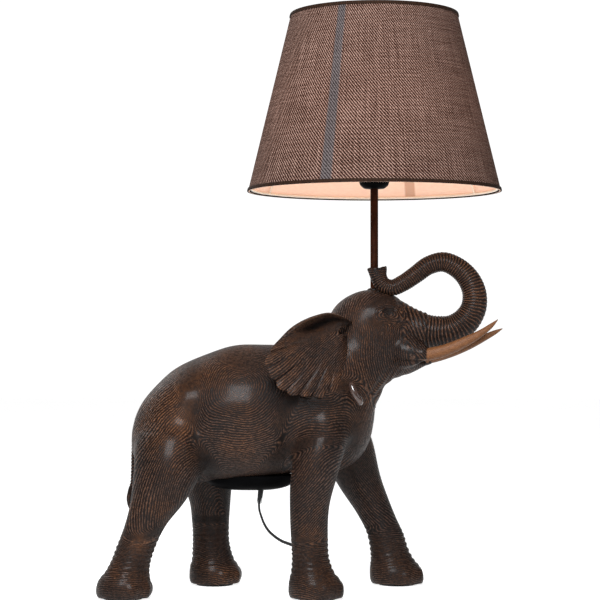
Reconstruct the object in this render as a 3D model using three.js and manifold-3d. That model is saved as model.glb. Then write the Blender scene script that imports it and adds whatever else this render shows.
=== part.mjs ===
// Elephant table lamp. Millimetres, +Z up, +X the way the elephant faces, +Y its left side.
// The origin is on the floor, under the middle of the lamp.
import * as THREE from 'three';
import { mergeVertices } from 'three/addons/utils/BufferGeometryUtils.js';
import Module from 'manifold-3d';

const wasm = await Module();
wasm.setup();

// Driving dimensions
const GAP = 0.3;            // between pieces that rest on each other
const LAMP_X = 95.3;        // the lamp rod's axis, which is also the shade's
const SHADE = { bottom: 511.5, top: 740, bottomR: 163, topR: 107.7, skin: 0.8, sides: 36 };
const ROD = { r: 5, bore: 3.8, bottom: 311, top: 518.5 };
const HEAD_TOP = 384;       // where the rod leaves the head
const NECK_X = 62;          // the joint between the body casting and the head casting
const SOLE = 2.3;           // the feet stand this high, on felt pads
const PAD = { r: 24, thick: SOLE - GAP };
const WALL = 8;             // of the hollow body casting
const BELLY_Z = 149;        // the belly is cut flat here for its cover
const BELLY = { x: -67, y: 0, a: 53, b: 31, depth: 20, skin: 3 };
const SCREW = { r: 1.8, headR: 3.2, head: 2.4, top: 155, seat: 145, dx: 41, dy: 9 };
const NUT = { innerCorner: 6.2, outerCorner: 9.2 };
const CORD_R = 2.4;
const EXIT = [-50, 0, 129.2];
const HANK = { x: 13, y0: 78, y1: 174, halfWidth: 17, z0: 1.4, z1: 23.6 };
const TIE = { thick: 1, width: 9, y: 100 };
const SWITCH = { x: 13, y0: 14, y1: 71, width: 24, half: 7.4, wall: 2 };
const PLUG = {
  x: 17, back: 119, front: 76, z: 31.3, width: 26, thick: 12, pinR: 2, pinLength: 19, pinGap: 19,
};

// Torso and neck: [x, middle height, half width, half height]
const TORSO = [
  [-214, 190, 8, 12], [-210, 193, 28, 30], [-196, 196, 50, 48], [-178, 202, 64, 62], [-150, 214, 78, 73],
  [-120, 222, 81, 81], [-80, 229, 84, 86], [-40, 230, 82, 85], [0, 234, 76, 80], [35, 245, 66, 72],
  [65, 262, 55, 61], [90, 285, 46, 54], [108, 300, 34, 40], [116, 306, 12, 16],
];

// Legs from the hip down to the sole: [x, y, z, radius]
const LEGS = {
  front_right: [[34, -50, 246, 14], [32, -58, 226, 33], [28, -62, 200, 37], [22, -70, 160, 30],
    [12, -72, 108, 24], [12, -72, 76, 23.3], [13, -72, 45, 24.5], [17, -72, 28, 29],
    [20, -72, 15, 34], [20.6, -72, SOLE, 33.5]],
  front_left: [[46, 48, 232, 14], [48, 56, 214, 32], [54, 62, 188, 37], [76, 68, 135, 29.5],
    [101, 72, 91, 25],
    [113, 72, 68, 24.5], [120, 72, 44, 25], [124, 72, 28, 29], [127, 72, 15, 34], [127.6, 72, SOLE, 33.5]],
  rear_right: [[-148, -40, 250, 16], [-150, -50, 225, 42], [-154, -56, 195, 50], [-166, -62, 152, 42],
    [-178, -66, 118, 33], [-193, -68, 90, 26], [-206, -69, 66, 23.5],
    [-213, -70, 44, 24], [-217, -70, 28, 28], [-220, -70, 15, 33], [-220, -70, SOLE, 32.5]],
  rear_left: [[-138, 36, 245, 16], [-136, 46, 222, 40], [-132, 54, 192, 48], [-122, 64, 142, 36],
    [-117, 68, 110, 27], [-117, 70, 80, 24], [-116, 70, 46, 24.5], [-114, 70, 28, 28], [-112, 70, 15, 33.5],
    [-112, 70, SOLE, 33]],
};

// Trunk from its root on the face to its tip behind the rod flange: [x, y, z, radius]
const TRUNK = [
  [140, -7, 333, 20], [150, -8, 335, 27], [174, -9, 331, 20.5], [195, -10, 334, 19], [210, -10.5, 343, 18],
  [222, -11, 360, 16.5], [223, -11.5, 380, 15.4], [215, -12, 400, 14.2], [200, -12.5, 415, 13.2],
  [184, -13, 421.5, 12.6], [165, -13.5, 416.7, 12], [147, -14, 404, 11.3], [131, -15, 393, 11],
  [117, -16.5, 387, 10.3], [106, -17.5, 392, 10], [100, -18, 402, 10.5], [99, -18, 411, 11.5],
];
const TUSKS = {
  right: [[148, -38, 300, 8.2], [152, -40, 300.5, 8.5], [178, -46, 307, 8], [205, -49, 318, 6.6],
    [229, -49, 331, 4.6], [249, -46, 347, 0.8]],
  left: [[156, 14, 297.5, 8.2], [166, 17, 299, 8.4], [191, 22, 305, 7.9], [217, 25, 314.5, 6.6],
    [240, 26, 325, 4.6], [260, 23, 336, 0.8]],
};
const TAIL = [
  [-196, 0, 240, 9], [-209, 1, 232, 9], [-219, 2, 215, 8], [-223, 3, 198, 7], [-225, 6, 165, 5],
  [-227, 8, 134, 4.5], [-227, 8, 124, 7.5], [-226, 8, 110, 7], [-224, 8, 97, 1.5],
];

// Outline of the right ear in x and z, from the top of its root round the flap
const EAR = [
  [60, 344], [37, 355], [19, 352], [4, 346], [-11, 337], [-24, 324], [-31, 313], [-42, 291], [-32, 280],
  [-29, 268], [-17, 255], [12, 254], [39, 249], [62, 246], [73, 238],
  [82, 248], [77, 262], [68, 285], [72, 320],
];
const EAR_ROOT_Y = 59;      // how far out the ear's front edge stands
const EAR_SPLAY = 0.3;      // and how fast it goes outwards towards its back edge
const EAR_THICK = 8;

// Route of the cord from the belly to the switch, and from the hank to the plug
const CORD_DROP = [
  EXIT, [-51, 0, 120], [-52.4, 0, 112], [-52, 0, 104], [-49.5, 0, 95.5], [-46, 0, 86.5], [-40.5, 0, 77.6],
  [-32.4, 0, 70], [-23, -0.5, 64], [-12, -2, 60], [-2, -6, 56], [6, -12, 49], [11, -19, 39], [13, -23, 28],
  [13, -22, 17], [13, -15, 8], [13, -5, 4], [13, 4, 5.2], [13, SWITCH.y0 - GAP, 6.2],
];
const CORD_TAIL = [[26.8, 150, 26.5], [26, 144, 26.9], [23, 136, 28.6], [19, 130, 30.6],
  [PLUG.x, 125, PLUG.z], [PLUG.x, PLUG.back + GAP, PLUG.z]];

const COLORS = {
  resin: 0x463026, ivory: 0xa57d5a, black: 0x0a0a0b, felt: 0x1c1a19, bronze: 0x4a2c1a, steel: 0xb9bcc0,
  brass: 0xb08d4c, fabric: 0x7d5f52, lining: 0xf3dcc8, cream: 0xefe6d6, trim: 0x4a3226,
  glass: 0xfff3df, lead: 0xe9e6df,
};
const material = (name, roughness = 0.6, metalness = 0) =>
  new THREE.MeshStandardMaterial({ color: COLORS[name], roughness, metalness });

const group = new THREE.Group();
function addPart(name, shape, look) {
  const mesh = new THREE.Mesh(shape.isBufferGeometry ? shape : geometryOf(shape), look);
  mesh.name = name;
  group.add(mesh);
  return mesh;
}

// ---- Solids ----

function solidOf(geometry) {
  const bare = geometry.clone();
  bare.deleteAttribute('normal');
  bare.deleteAttribute('uv');
  const merged = mergeVertices(bare, 1e-4);
  return new wasm.Manifold(new wasm.Mesh({
    numProp: 3,
    vertProperties: new Float32Array(merged.attributes.position.array),
    triVerts: new Uint32Array(merged.index.array),
  }));
}

function geometryOf(solid) {
  const { numProp, vertProperties, triVerts } = solid.getMesh();
  const points = new Float32Array((vertProperties.length / numProp) * 3);
  for (let i = 0; i < points.length / 3; i++) {
    for (let k = 0; k < 3; k++) points[3 * i + k] = vertProperties[numProp * i + k];
  }
  const geometry = new THREE.BufferGeometry();
  geometry.setAttribute('position', new THREE.BufferAttribute(points, 3));
  geometry.setIndex(new THREE.BufferAttribute(new Uint32Array(triVerts), 1));
  geometry.computeVertexNormals();
  return geometry;
}

const union = (solids) => solids.reduce((all, solid) => all.add(solid));

function box(x0, y0, z0, x1, y1, z1) {
  return new THREE.BoxGeometry(x1 - x0, y1 - y0, z1 - z0)
    .translate((x0 + x1) / 2, (y0 + y1) / 2, (z0 + z1) / 2);
}

function cylinder(x, y, z0, z1, r, sides = 24) {
  return new THREE.CylinderGeometry(r, r, z1 - z0, sides)
    .rotateX(Math.PI / 2)
    .translate(x, y, (z0 + z1) / 2);
}

function ellipsoid([x, y, z], [a, b, c], grow = 0) {
  return new THREE.SphereGeometry(1, 18, 11).rotateX(Math.PI / 2)
    .scale(a + grow, b + grow, c + grow).translate(x, y, z);
}

// A profile of [radius, height] pairs turned about the lamp's axis
function turned(profile, sides = 24) {
  const points = profile.map(([r, z]) => new THREE.Vector2(r, z));
  if (profile[0][0] > 0) points.push(points[0].clone());
  return new THREE.LatheGeometry(points, sides).rotateX(Math.PI / 2).translate(LAMP_X, 0, 0);
}

// A closed skin over elliptical rings. Each station is [x, y, z, half width, half height]; the rings
// stand square to the smooth line through the stations, their width along Y as nearly as they can.
function loft(stations, { sides = 20, steps = 1, grow = 0 } = {}) {
  const places = stations.map(([x, y, z]) => new THREE.Vector3(x, y, z));
  const radii = stations.map(([, , , a, b = a]) => new THREE.Vector3(a, b, 0));
  const line = new THREE.CatmullRomCurve3(places, false, 'centripetal');
  const sizes = new THREE.CatmullRomCurve3(radii, false, 'centripetal');
  const rings = (stations.length - 1) * steps + 1;
  const points = [];
  for (let i = 0; i < rings; i++) {
    const t = i / (rings - 1);
    const centre = line.getPoint(t);
    const size = sizes.getPoint(t);
    const along = line.getTangent(t);
    if (i === 0) centre.addScaledVector(along, -grow);
    if (i === rings - 1) centre.addScaledVector(along, grow);
    const side = new THREE.Vector3(0, 1, 0).addScaledVector(along, -along.y).normalize();
    const up = new THREE.Vector3().crossVectors(along, side);
    for (let j = 0; j < sides; j++) {
      const angle = (2 * Math.PI * j) / sides;
      const p = centre.clone()
        .addScaledVector(side, (size.x + grow) * Math.cos(angle))
        .addScaledVector(up, (size.y + grow) * Math.sin(angle));
      points.push(p.x, p.y, p.z);
    }
  }
  const index = [];
  for (let i = 0; i < rings - 1; i++) {
    for (let j = 0; j < sides; j++) {
      const [a, b] = [i * sides + j, i * sides + ((j + 1) % sides)];
      index.push(a, b, b + sides, a, b + sides, a + sides);
    }
  }
  const last = (rings - 1) * sides;
  for (let j = 1; j < sides - 1; j++) index.push(0, j + 1, j, last, last + j, last + j + 1);
  const geometry = new THREE.BufferGeometry();
  geometry.setAttribute('position', new THREE.Float32BufferAttribute(points, 3));
  geometry.setIndex(index);
  return geometry;
}

// A round bar along a smooth line
function tube(points, r, steps, sides = 10) {
  const path = new THREE.CatmullRomCurve3(points.map((p) => new THREE.Vector3(...p)), false, 'centripetal');
  const section = new THREE.Shape();
  for (let j = 0; j < sides; j++) {
    const angle = (2 * Math.PI * j) / sides;
    section[j ? 'lineTo' : 'moveTo'](r * Math.cos(angle), r * Math.sin(angle));
  }
  return new THREE.ExtrudeGeometry(section, { steps, extrudePath: path, bevelEnabled: false });
}

// A plate with a closed outline in x and y, standing from z0 to z1
function plate(outline, z0, z1) {
  const shape = new THREE.Shape(outline.map(([x, y]) => new THREE.Vector2(x, y)));
  return new THREE.ExtrudeGeometry(shape, { depth: z1 - z0, bevelEnabled: false }).translate(0, 0, z0);
}

function roundedRectangle(x0, y0, x1, y1, r) {
  const corners = [[x1 - r, y1 - r, 0], [x0 + r, y1 - r, 1], [x0 + r, y0 + r, 2], [x1 - r, y0 + r, 3]];
  return corners.flatMap(([x, y, quarter]) => [0, 1, 2, 3].map((k) => {
    const angle = (quarter + k / 3) * Math.PI / 2;
    return [x + r * Math.cos(angle), y + r * Math.sin(angle)];
  }));
}

// ---- Elephant ----

const torso = (grow = 0) => loft(TORSO.map(([x, z, a, b]) => [x, 0, z, a, b]), { sides: 22, grow });
const leg = (stations, grow = 0) => loft(stations, { sides: 14, grow });
// A wide dark lens under the belly, which closes the body casting
const bellyPan = (shrink = 0) => loft(
  [[0, 1], [6, 0.96], [13, 0.79], [18, 0.5], [BELLY.depth - shrink, 0.22]].map(([down, share]) =>
    [BELLY.x, 0, BELLY_Z - down, BELLY.b * share - shrink, BELLY.a * share - shrink]), { sides: 24, steps: 1 });

function bodyOuter(grow = 0) {
  const front = solidOf(box(-400, -200, 0, NECK_X - GAP / 2 + grow, 200, 500));
  const trunkless = solidOf(torso(grow)).intersect(front);
  const whole = union([trunkless, ...Object.values(LEGS).map((s) => solidOf(leg(s, grow)))]);
  const floor = solidOf(box(-400, -200, -20, 400, 200, SOLE - grow));
  return whole.subtract(floor);
}

function headOuter(grow = 0) {
  const behind = solidOf(box(-400, -200, 0, NECK_X + GAP / 2 - grow, 200, 500));
  return union([
    solidOf(torso(grow)),
    solidOf(ellipsoid([88, -1, 338], [48, 44, 46], grow)),
    solidOf(ellipsoid([118, -4, 320], [46, 40, 41], grow)),
    solidOf(ellipsoid([122, -4, 296], [43, 25, 19], grow)),
  ]).subtract(behind);
}

// The lead's way from the belly up through the neck to the rod
const leadWay = solidOf(loft([[0, 0, 232, 15], [40, 0, 254, 15], [70, 0, 276, 15], [90, 0, 294, 15],
  [LAMP_X, 0, 306, 14], [LAMP_X, 0, 324, 14]], { sides: 16, steps: 1 }));
const inside = TORSO.slice(1, 10).map(([x, z, a, b]) => [x, 0, z, a - WALL, b - WALL]);
const hollow = solidOf(loft(inside, { sides: 18, steps: 1 }));
const bellyCut = solidOf(box(-122, -60, 100, -12, 60, BELLY_Z + GAP))
  .intersect(solidOf(torso(4)));
const bellyHole = solidOf(
  loft([[BELLY.x, 0, 130, 18, 30], [BELLY.x, 0, 180, 18, 30]], { sides: 20, steps: 1 }));
const screwPlaces = [[1, 1], [-1, 1], [-1, -1], [1, -1]]
  .map(([i, j]) => [BELLY.x + i * SCREW.dx, BELLY.y + j * SCREW.dy]);
const screwHoles = (r, z0, z1) =>
  union(screwPlaces.map(([x, y]) => solidOf(cylinder(x, y, z0, z1, r, 12))));

const bodyCasting = bodyOuter()
  .subtract(bellyCut).subtract(hollow).subtract(bellyHole).subtract(leadWay)
  .subtract(screwHoles(SCREW.r + GAP, 140, SCREW.top + 1));
const rodHole = solidOf(cylinder(LAMP_X, 0, 300, 420, ROD.r + GAP));
const headCasting = headOuter().subtract(leadWay).subtract(rodHole)
  .subtract(union(Object.values(LEGS).slice(0, 2).map((s) => solidOf(leg(s, GAP)))));

const resin = material('resin', 0.45);
addPart('body_casting', bodyCasting, resin);
addPart('head_casting', headCasting, resin);

const headClear = headOuter(GAP);
const bodyClear = bodyOuter(GAP);
const trunkShape = solidOf(loft(TRUNK, { sides: 12 })).subtract(headClear);
addPart('trunk', trunkShape, resin);

const ivory = material('ivory', 0.55);
for (const [side, stations] of Object.entries(TUSKS)) {
  const tusk = solidOf(loft(stations, { sides: 10, steps: 2 })).subtract(headClear);
  addPart(`tusk_${side}`, tusk, ivory);
}

// A flat flap that leans outwards, joined to the head by a thick root
function ear(sign) {
  const shape = new THREE.Shape(EAR.map(([x, z]) => new THREE.Vector2(x, z)));
  const flap = new THREE.ExtrudeGeometry(shape, { depth: EAR_THICK, bevelEnabled: false });
  flap.rotateX(Math.PI / 2);
  const place = flap.attributes.position;
  for (let i = 0; i < place.count; i++) {
    const x = place.getX(i);
    const outward = EAR_ROOT_Y + EAR_SPLAY * (80 - x);
    place.setY(i, place.getY(i) - outward);
  }
  const root = solidOf(ellipsoid([68, -48, 312], [16, 20, 30]));
  const right = solidOf(flap).add(root).subtract(headClear).subtract(bodyClear);
  return sign < 0 ? right : right.mirror([0, 1, 0]);
}
addPart('ear_right', ear(-1), resin);
addPart('ear_left', ear(1), resin);
addPart('tail', solidOf(loft(TAIL, { sides: 10 })).subtract(bodyClear), resin);

const cover = solidOf(bellyPan())
  .subtract(solidOf(bellyPan(BELLY.skin)).intersect(solidOf(box(-95, -19, 100, -39, 19, 200))))
  .subtract(screwHoles(SCREW.r + GAP, 120, 160))
  .subtract(screwHoles(SCREW.headR + GAP, 120, SCREW.seat))
  .subtract(solidOf(cylinder(EXIT[0], EXIT[1], 120, 160, 4.6, 12)));
addPart('belly_cover', cover, material('black', 0.5));
screwPlaces.forEach(([x, y], i) => {
  const head = solidOf(cylinder(x, y, SCREW.seat - GAP - SCREW.head, SCREW.seat - GAP, SCREW.headR, 14));
  const shank = solidOf(cylinder(x, y, SCREW.seat - GAP - 0.5, SCREW.top, SCREW.r, 10));
  addPart(`cover_screw_${i + 1}`, head.add(shank), material('steel', 0.35, 1));
});
Object.values(LEGS).forEach((stations, i) => {
  const [x, y] = stations.at(-1);
  addPart(`foot_pad_${i + 1}`, cylinder(x, y, 0, PAD.thick, PAD.r, 20), material('felt', 0.95));
});

// ---- Rod and lampholder ----

const ring = (r0, r1, z0, z1, sides) => turned([[r0, z0], [r1, z0], [r1, z1], [r0, z1]], sides);
const bronze = material('bronze', 0.4, 0.8);
const black = material('black', 0.35);
addPart('rod', ring(ROD.bore, ROD.r, ROD.bottom, ROD.top, 20), bronze);
addPart('rod_flange', turned([[ROD.r + GAP, HEAD_TOP + GAP], [9, HEAD_TOP + GAP], [9, HEAD_TOP + 2.2],
  [7, HEAD_TOP + 3.6], [ROD.r + GAP, HEAD_TOP + 3.6]], 20), black);
addPart('rod_washer', ring(ROD.r + GAP, 9.5, 322, 323.6, 18), material('steel', 0.4, 1));
addPart('rod_nut', ring(NUT.innerCorner, NUT.outerCorner, 316.5, 321.6, 6), material('brass', 0.4, 1));
addPart('inner_lead', tube([[EXIT[0], 0, 152.5], [-48, 0, 180], [-34, 0, 212], [0, 0, 236], [40, 0, 254], [72, 0, 276],
  [90, 0, 290], [LAMP_X, 0, 304], [LAMP_X, 0, 320], [LAMP_X, 0, 380], [LAMP_X, 0, 450], [LAMP_X, 0, 536]],
2, 26, 8), material('lead', 0.6));

addPart('holder_cap', turned([[ROD.r + GAP, 515], [13, 515.4], [18, 519.5], [20, 526], [20, 537], [17.6, 537],
  [17.6, 527], [14, 521], [ROD.r + GAP, 519]]), black);
addPart('holder_body', turned([[0, 537.3], [23, 537.3], [23, 541], [19.3, 541], [19.3, 573], [15, 573], [15, 542.5],
  [0, 542.5]]), black);
addPart('holder_thread', ring(13.9, 14.6, 546, 571), material('brass', 0.35, 1));
addPart('holder_contact', turned([[0, 542.9], [4, 542.9], [4, 544.6], [0, 544.6]], 16),
  material('brass', 0.35, 1));
addPart('shade_clamp_ring', ring(19.7, 25.5, 543.8, 550.6), black);
addPart('bulb_tip', turned([[0, 545], [3.4, 545], [4, 547.9], [0, 547.9]], 16), material('brass', 0.35, 1));
addPart('bulb_cap', turned([[0, 548.3], [4, 548.3], [13.2, 552], [13.2, 575], [12.5, 575], [12.5, 553.5],
  [0, 551]]), material('steel', 0.35, 1));
addPart('bulb_glass', turned([[0, 650.8], [10, 649.6], [20, 643.8], [27, 634], [28.8, 622], [26.5, 610], [19, 596],
  [12.5, 585], [11, 575], [11, 560], [12, 560], [12, 575], [13.6, 584], [20, 595], [27.6, 609.5], [30, 622],
  [28, 634.8], [20.8, 645], [10.4, 651], [0, 652.2]]), material('glass', 0.2));

// ---- Shade ----

const slope = (SHADE.bottomR - SHADE.topR) / (SHADE.top - SHADE.bottom);
const shadeR = (z) => SHADE.bottomR - slope * (z - SHADE.bottom);
// A thin cone frustum, standing this far inside the shade's outer face
const skin = (z0, z1, inset, thick) => turned([[shadeR(z0) - inset - thick, z0], [shadeR(z0) - inset, z0],
  [shadeR(z1) - inset, z1], [shadeR(z1) - inset - thick, z1]], SHADE.sides);
const TRIM = { proud: 0.9, height: 5 };
const fabric = material('fabric', 0.9);
addPart('shade_cover', skin(SHADE.bottom, SHADE.top, TRIM.proud, SHADE.skin), fabric);
addPart('shade_lining', skin(SHADE.bottom, SHADE.top, TRIM.proud + SHADE.skin + GAP, SHADE.skin),
  material('lining', 0.8));
const trimThick = TRIM.proud - GAP;
addPart('shade_bottom_trim', skin(SHADE.bottom, SHADE.bottom + TRIM.height, 0, trimThick),
  material('trim', 0.9));
addPart('shade_top_trim', skin(SHADE.top - TRIM.height, SHADE.top, 0, trimThick), material('trim', 0.9));

const WIRE = { r: 1.6, sides: 6 };
const wireInset = TRIM.proud + 2 * SHADE.skin + 2 * GAP + WIRE.r + 0.4;
function wireRing(z) {
  const r = shadeR(z) - wireInset;
  const section = [...Array(WIRE.sides).keys()].map((k) => {
    const angle = (2 * Math.PI * k) / WIRE.sides;
    return [r + WIRE.r * Math.cos(angle), z + WIRE.r * Math.sin(angle)];
  });
  return turned(section, SHADE.sides);
}
const LOW_WIRE_Z = SHADE.bottom + 3;
const FITTER = { z0: 541.3, z1: 543.5, inner: 19.8, outer: 27 };
// Three arms go out level from the fitter ring and bend down to the lower wire
function spiderArm(angle) {
  const z = (FITTER.z0 + FITTER.z1) / 2;
  const reach = shadeR(LOW_WIRE_Z) - wireInset;
  const points = [[26, 0, z], [70, 0, z], [122, 0, z], [138, 0, z - 3], [150, 0, z - 13],
    [reach, 0, LOW_WIRE_Z]];
  return tube(points, WIRE.r, 10, 6).rotateZ(angle).translate(LAMP_X, 0, 0);
}
const armAngles = [0, 1, 2].map((k) => -Math.PI / 2 + (2 * Math.PI * k) / 3);
const spider = union([solidOf(ring(FITTER.inner, FITTER.outer, FITTER.z0, FITTER.z1)),
  solidOf(wireRing(LOW_WIRE_Z)), ...armAngles.map((a) => solidOf(spiderArm(a)))]);
addPart('shade_spider', spider, material('cream', 0.5));
addPart('shade_top_ring', wireRing(SHADE.top - 3), material('cream', 0.5));

// ---- Cord, switch and plug ----

const GRIP = { top: 152, collar: 4.2, neckR: 3.6, tipR: 2.9, tipZ: 112 };
const gripAxis = [[-50, GRIP.top, GRIP.collar], [-50, BELLY_Z - 6, GRIP.collar], [-50, 130, GRIP.neckR],
  [-51.2, 120, 3.2], [-52.4, GRIP.tipZ, GRIP.tipR]];
const grip = solidOf(loft(gripAxis.map(([x, z, r]) => [x, 0, z, r]), { sides: 12 }));
const cordClear = solidOf(tube(CORD_DROP.slice(0, 6), CORD_R + 2 * GAP, 8, 8));
addPart('cord_grip', grip.subtract(cordClear), black);
const cordLook = material('black', 0.5);
addPart('cord_drop', tube(CORD_DROP, CORD_R, 28, 8), cordLook);
addPart('cord_link', tube([[SWITCH.x, SWITCH.y1 + GAP, 6.2], [SWITCH.x, HANK.y0 - GAP, 6.2]], CORD_R, 2),
  cordLook);
addPart('cord_tail', tube(CORD_TAIL, CORD_R, 6, 8), cordLook);
addPart('cord_hank', plate(roundedRectangle(HANK.x - HANK.halfWidth, HANK.y0, HANK.x + HANK.halfWidth, HANK.y1,
  HANK.halfWidth - 0.5), HANK.z0, HANK.z1), cordLook);
const tieOuter = [HANK.x - HANK.halfWidth - GAP - TIE.thick, HANK.x + HANK.halfWidth + GAP + TIE.thick];
const tie = solidOf(box(tieOuter[0], TIE.y, 0.05, tieOuter[1], TIE.y + TIE.width, HANK.z1 + GAP + TIE.thick))
  .subtract(solidOf(box(tieOuter[0] + TIE.thick, TIE.y - 1, HANK.z0 - GAP, tieOuter[1] - TIE.thick,
    TIE.y + TIE.width + 1, HANK.z1 + GAP)));
addPart('cord_tie', tie, cordLook);

const [switchX0, switchX1] = [SWITCH.x - SWITCH.width / 2, SWITCH.x + SWITCH.width / 2];
const WINDOW = { halfX: 5.5, y0: 33, y1: 52 };
function switchHalf(z0, z1, hollow0, hollow1) {
  const shell = solidOf(plate(roundedRectangle(switchX0, SWITCH.y0, switchX1, SWITCH.y1, 9), z0, z1));
  const inside = plate(roundedRectangle(switchX0 + SWITCH.wall, SWITCH.y0 + SWITCH.wall, switchX1 - SWITCH.wall,
    SWITCH.y1 - SWITCH.wall, 7), hollow0, hollow1);
  return shell.subtract(solidOf(inside));
}
const switchTop = 2 * SWITCH.half + GAP;
addPart('switch_lower', switchHalf(0, SWITCH.half, SWITCH.wall, SWITCH.half + 1), black);
addPart('switch_upper', switchHalf(SWITCH.half + GAP, switchTop, 0, switchTop - SWITCH.wall)
  .subtract(solidOf(box(SWITCH.x - WINDOW.halfX, WINDOW.y0, 9, SWITCH.x + WINDOW.halfX, WINDOW.y1, 20))), black);
// The rocker's top is a shallow V about its pivot, which lies along X
const rockerMiddle = (WINDOW.y0 + WINDOW.y1) / 2;
const rockerSide = new THREE.Shape([[-7.6, 12], [-6, 9.5], [6, 9.5], [7.6, 12], [8, 17], [0, 15.6], [-8, 17]]
  .map(([y, z]) => new THREE.Vector2(y, z)));
addPart('switch_rocker', new THREE.ExtrudeGeometry(rockerSide, { depth: 10, bevelEnabled: false })
  .applyMatrix4(new THREE.Matrix4().makeBasis(new THREE.Vector3(0, 1, 0), new THREE.Vector3(0, 0, 1),
    new THREE.Vector3(1, 0, 0))).translate(SWITCH.x - 5, rockerMiddle, 0), material('black', 0.25));

const plugHalf = PLUG.width / 2;
const plugOutline = [[PLUG.x - 5, PLUG.back], [PLUG.x - 5, PLUG.back - 8], [PLUG.x - plugHalf, PLUG.back - 22],
  [PLUG.x - plugHalf, PLUG.front], [PLUG.x + plugHalf, PLUG.front], [PLUG.x + plugHalf, PLUG.back - 22],
  [PLUG.x + 5, PLUG.back - 8], [PLUG.x + 5, PLUG.back]];
addPart('plug_body', plate(plugOutline, PLUG.z - PLUG.thick / 2, PLUG.z + PLUG.thick / 2), black);
for (const [i, side] of [-1, 1].entries()) {
  const pin = new THREE.CylinderGeometry(PLUG.pinR, PLUG.pinR, PLUG.pinLength, 14)
    .translate(PLUG.x + side * PLUG.pinGap / 2, PLUG.front - GAP - PLUG.pinLength / 2, PLUG.z);
  addPart(`plug_pin_${i + 1}`, pin, material('brass', 0.3, 1));
}

export default group;
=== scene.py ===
"""Elephant table lamp: the carved skin, tusks, shade, lampholder and cord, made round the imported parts.

Lengths in this file are millimetres until a mesh is made, where MM turns them into metres.
X is the way the elephant faces, Y its left side and Z up.
"""
import math

import bpy
import numpy as np
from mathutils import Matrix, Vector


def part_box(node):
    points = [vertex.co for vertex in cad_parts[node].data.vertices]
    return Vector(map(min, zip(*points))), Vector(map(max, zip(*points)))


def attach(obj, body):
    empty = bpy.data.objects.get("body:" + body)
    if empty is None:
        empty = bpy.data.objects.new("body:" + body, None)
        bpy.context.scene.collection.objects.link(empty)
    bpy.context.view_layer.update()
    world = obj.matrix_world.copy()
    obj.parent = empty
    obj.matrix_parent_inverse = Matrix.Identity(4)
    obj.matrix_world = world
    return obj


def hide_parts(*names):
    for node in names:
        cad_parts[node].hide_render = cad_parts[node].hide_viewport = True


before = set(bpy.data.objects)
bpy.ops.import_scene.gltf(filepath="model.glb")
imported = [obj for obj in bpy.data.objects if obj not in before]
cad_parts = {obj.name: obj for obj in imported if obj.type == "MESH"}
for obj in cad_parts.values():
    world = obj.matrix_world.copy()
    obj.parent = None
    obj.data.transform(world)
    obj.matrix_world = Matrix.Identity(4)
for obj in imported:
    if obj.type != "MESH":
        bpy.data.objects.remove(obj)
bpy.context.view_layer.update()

MM = 0.001
TAU = 2 * math.pi
BASE, SHADE_BODY, BULB_BODY = "elephant", "shade", "bulb"


# ---- Camera and lights ----

def aim(thing, target):
    """Turns a camera or light so that its -Z axis looks at the target, with Y upwards."""
    from mathutils import Vector
    way = Vector(target) - thing.location
    thing.rotation_euler = way.to_track_quat("-Z", "Y").to_euler()


camera = bpy.data.objects.new("camera", bpy.data.cameras.new("camera"))
bpy.context.collection.objects.link(camera)
camera.location = (0.0, -2.5, 0.324)
camera.data.lens = 117
camera.data.sensor_width = 36
aim(camera, (0.0, 0.0, 0.3725))
bpy.context.scene.camera = camera
bpy.context.scene.view_settings.view_transform = "Standard"


def area_light(name, place, target, size, power, color=(1, 1, 1)):
    light = bpy.data.lights.new(name, "AREA")
    light.energy, light.size, light.color = power, size, color
    lamp = bpy.data.objects.new(name, light)
    bpy.context.collection.objects.link(lamp)
    lamp.location = place
    aim(lamp, target)
    return lamp


KEY_WATTS, SIDE_WATTS, BACK_WATTS = 80, 3, 7
ROOM_FRONT, ROOM_BACK = 0.17, 1.08      # brightness of the room behind the camera and of its white wall

area_light("key_softbox", (-0.3, -1.6, 1.35), (-0.02, 0, 0.38), 0.85, KEY_WATTS, (0.95, 0.97, 1.0))
area_light("side_softbox", (1.5, -0.9, 0.9), (0.05, 0, 0.35), 0.6, SIDE_WATTS, (0.92, 0.96, 1.0))
area_light("back_softbox", (-1.2, 1.6, 1.3), (0, 0, 0.35), 0.9, BACK_WATTS)


def studio_air(front, back):
    """A dim room with a bright white wall on the side that the elephant's left faces. The wall starts where
    the Y part of a direction passes the first of two limits and is full at the second."""
    world = bpy.data.worlds.new("studio")
    bpy.context.scene.world = world
    world.use_nodes = True
    tree = world.node_tree
    way = tree.nodes.new("ShaderNodeTexCoord")
    parts = tree.nodes.new("ShaderNodeSeparateXYZ")
    blend = tree.nodes.new("ShaderNodeMapRange")
    blend.interpolation_type = "SMOOTHSTEP"
    for socket, number in zip(blend.inputs[1:5], (0.55, 0.965, front, back)):
        socket.default_value = number
    tree.links.new(way.outputs["Generated"], parts.inputs[0])
    tree.links.new(parts.outputs["Y"], blend.inputs[0])
    tree.nodes["Background"].inputs["Color"].default_value = (1, 1, 1, 1)
    tree.links.new(blend.outputs[0], tree.nodes["Background"].inputs["Strength"])


studio_air(ROOM_FRONT, ROOM_BACK)


# ---- Materials ----

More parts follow.
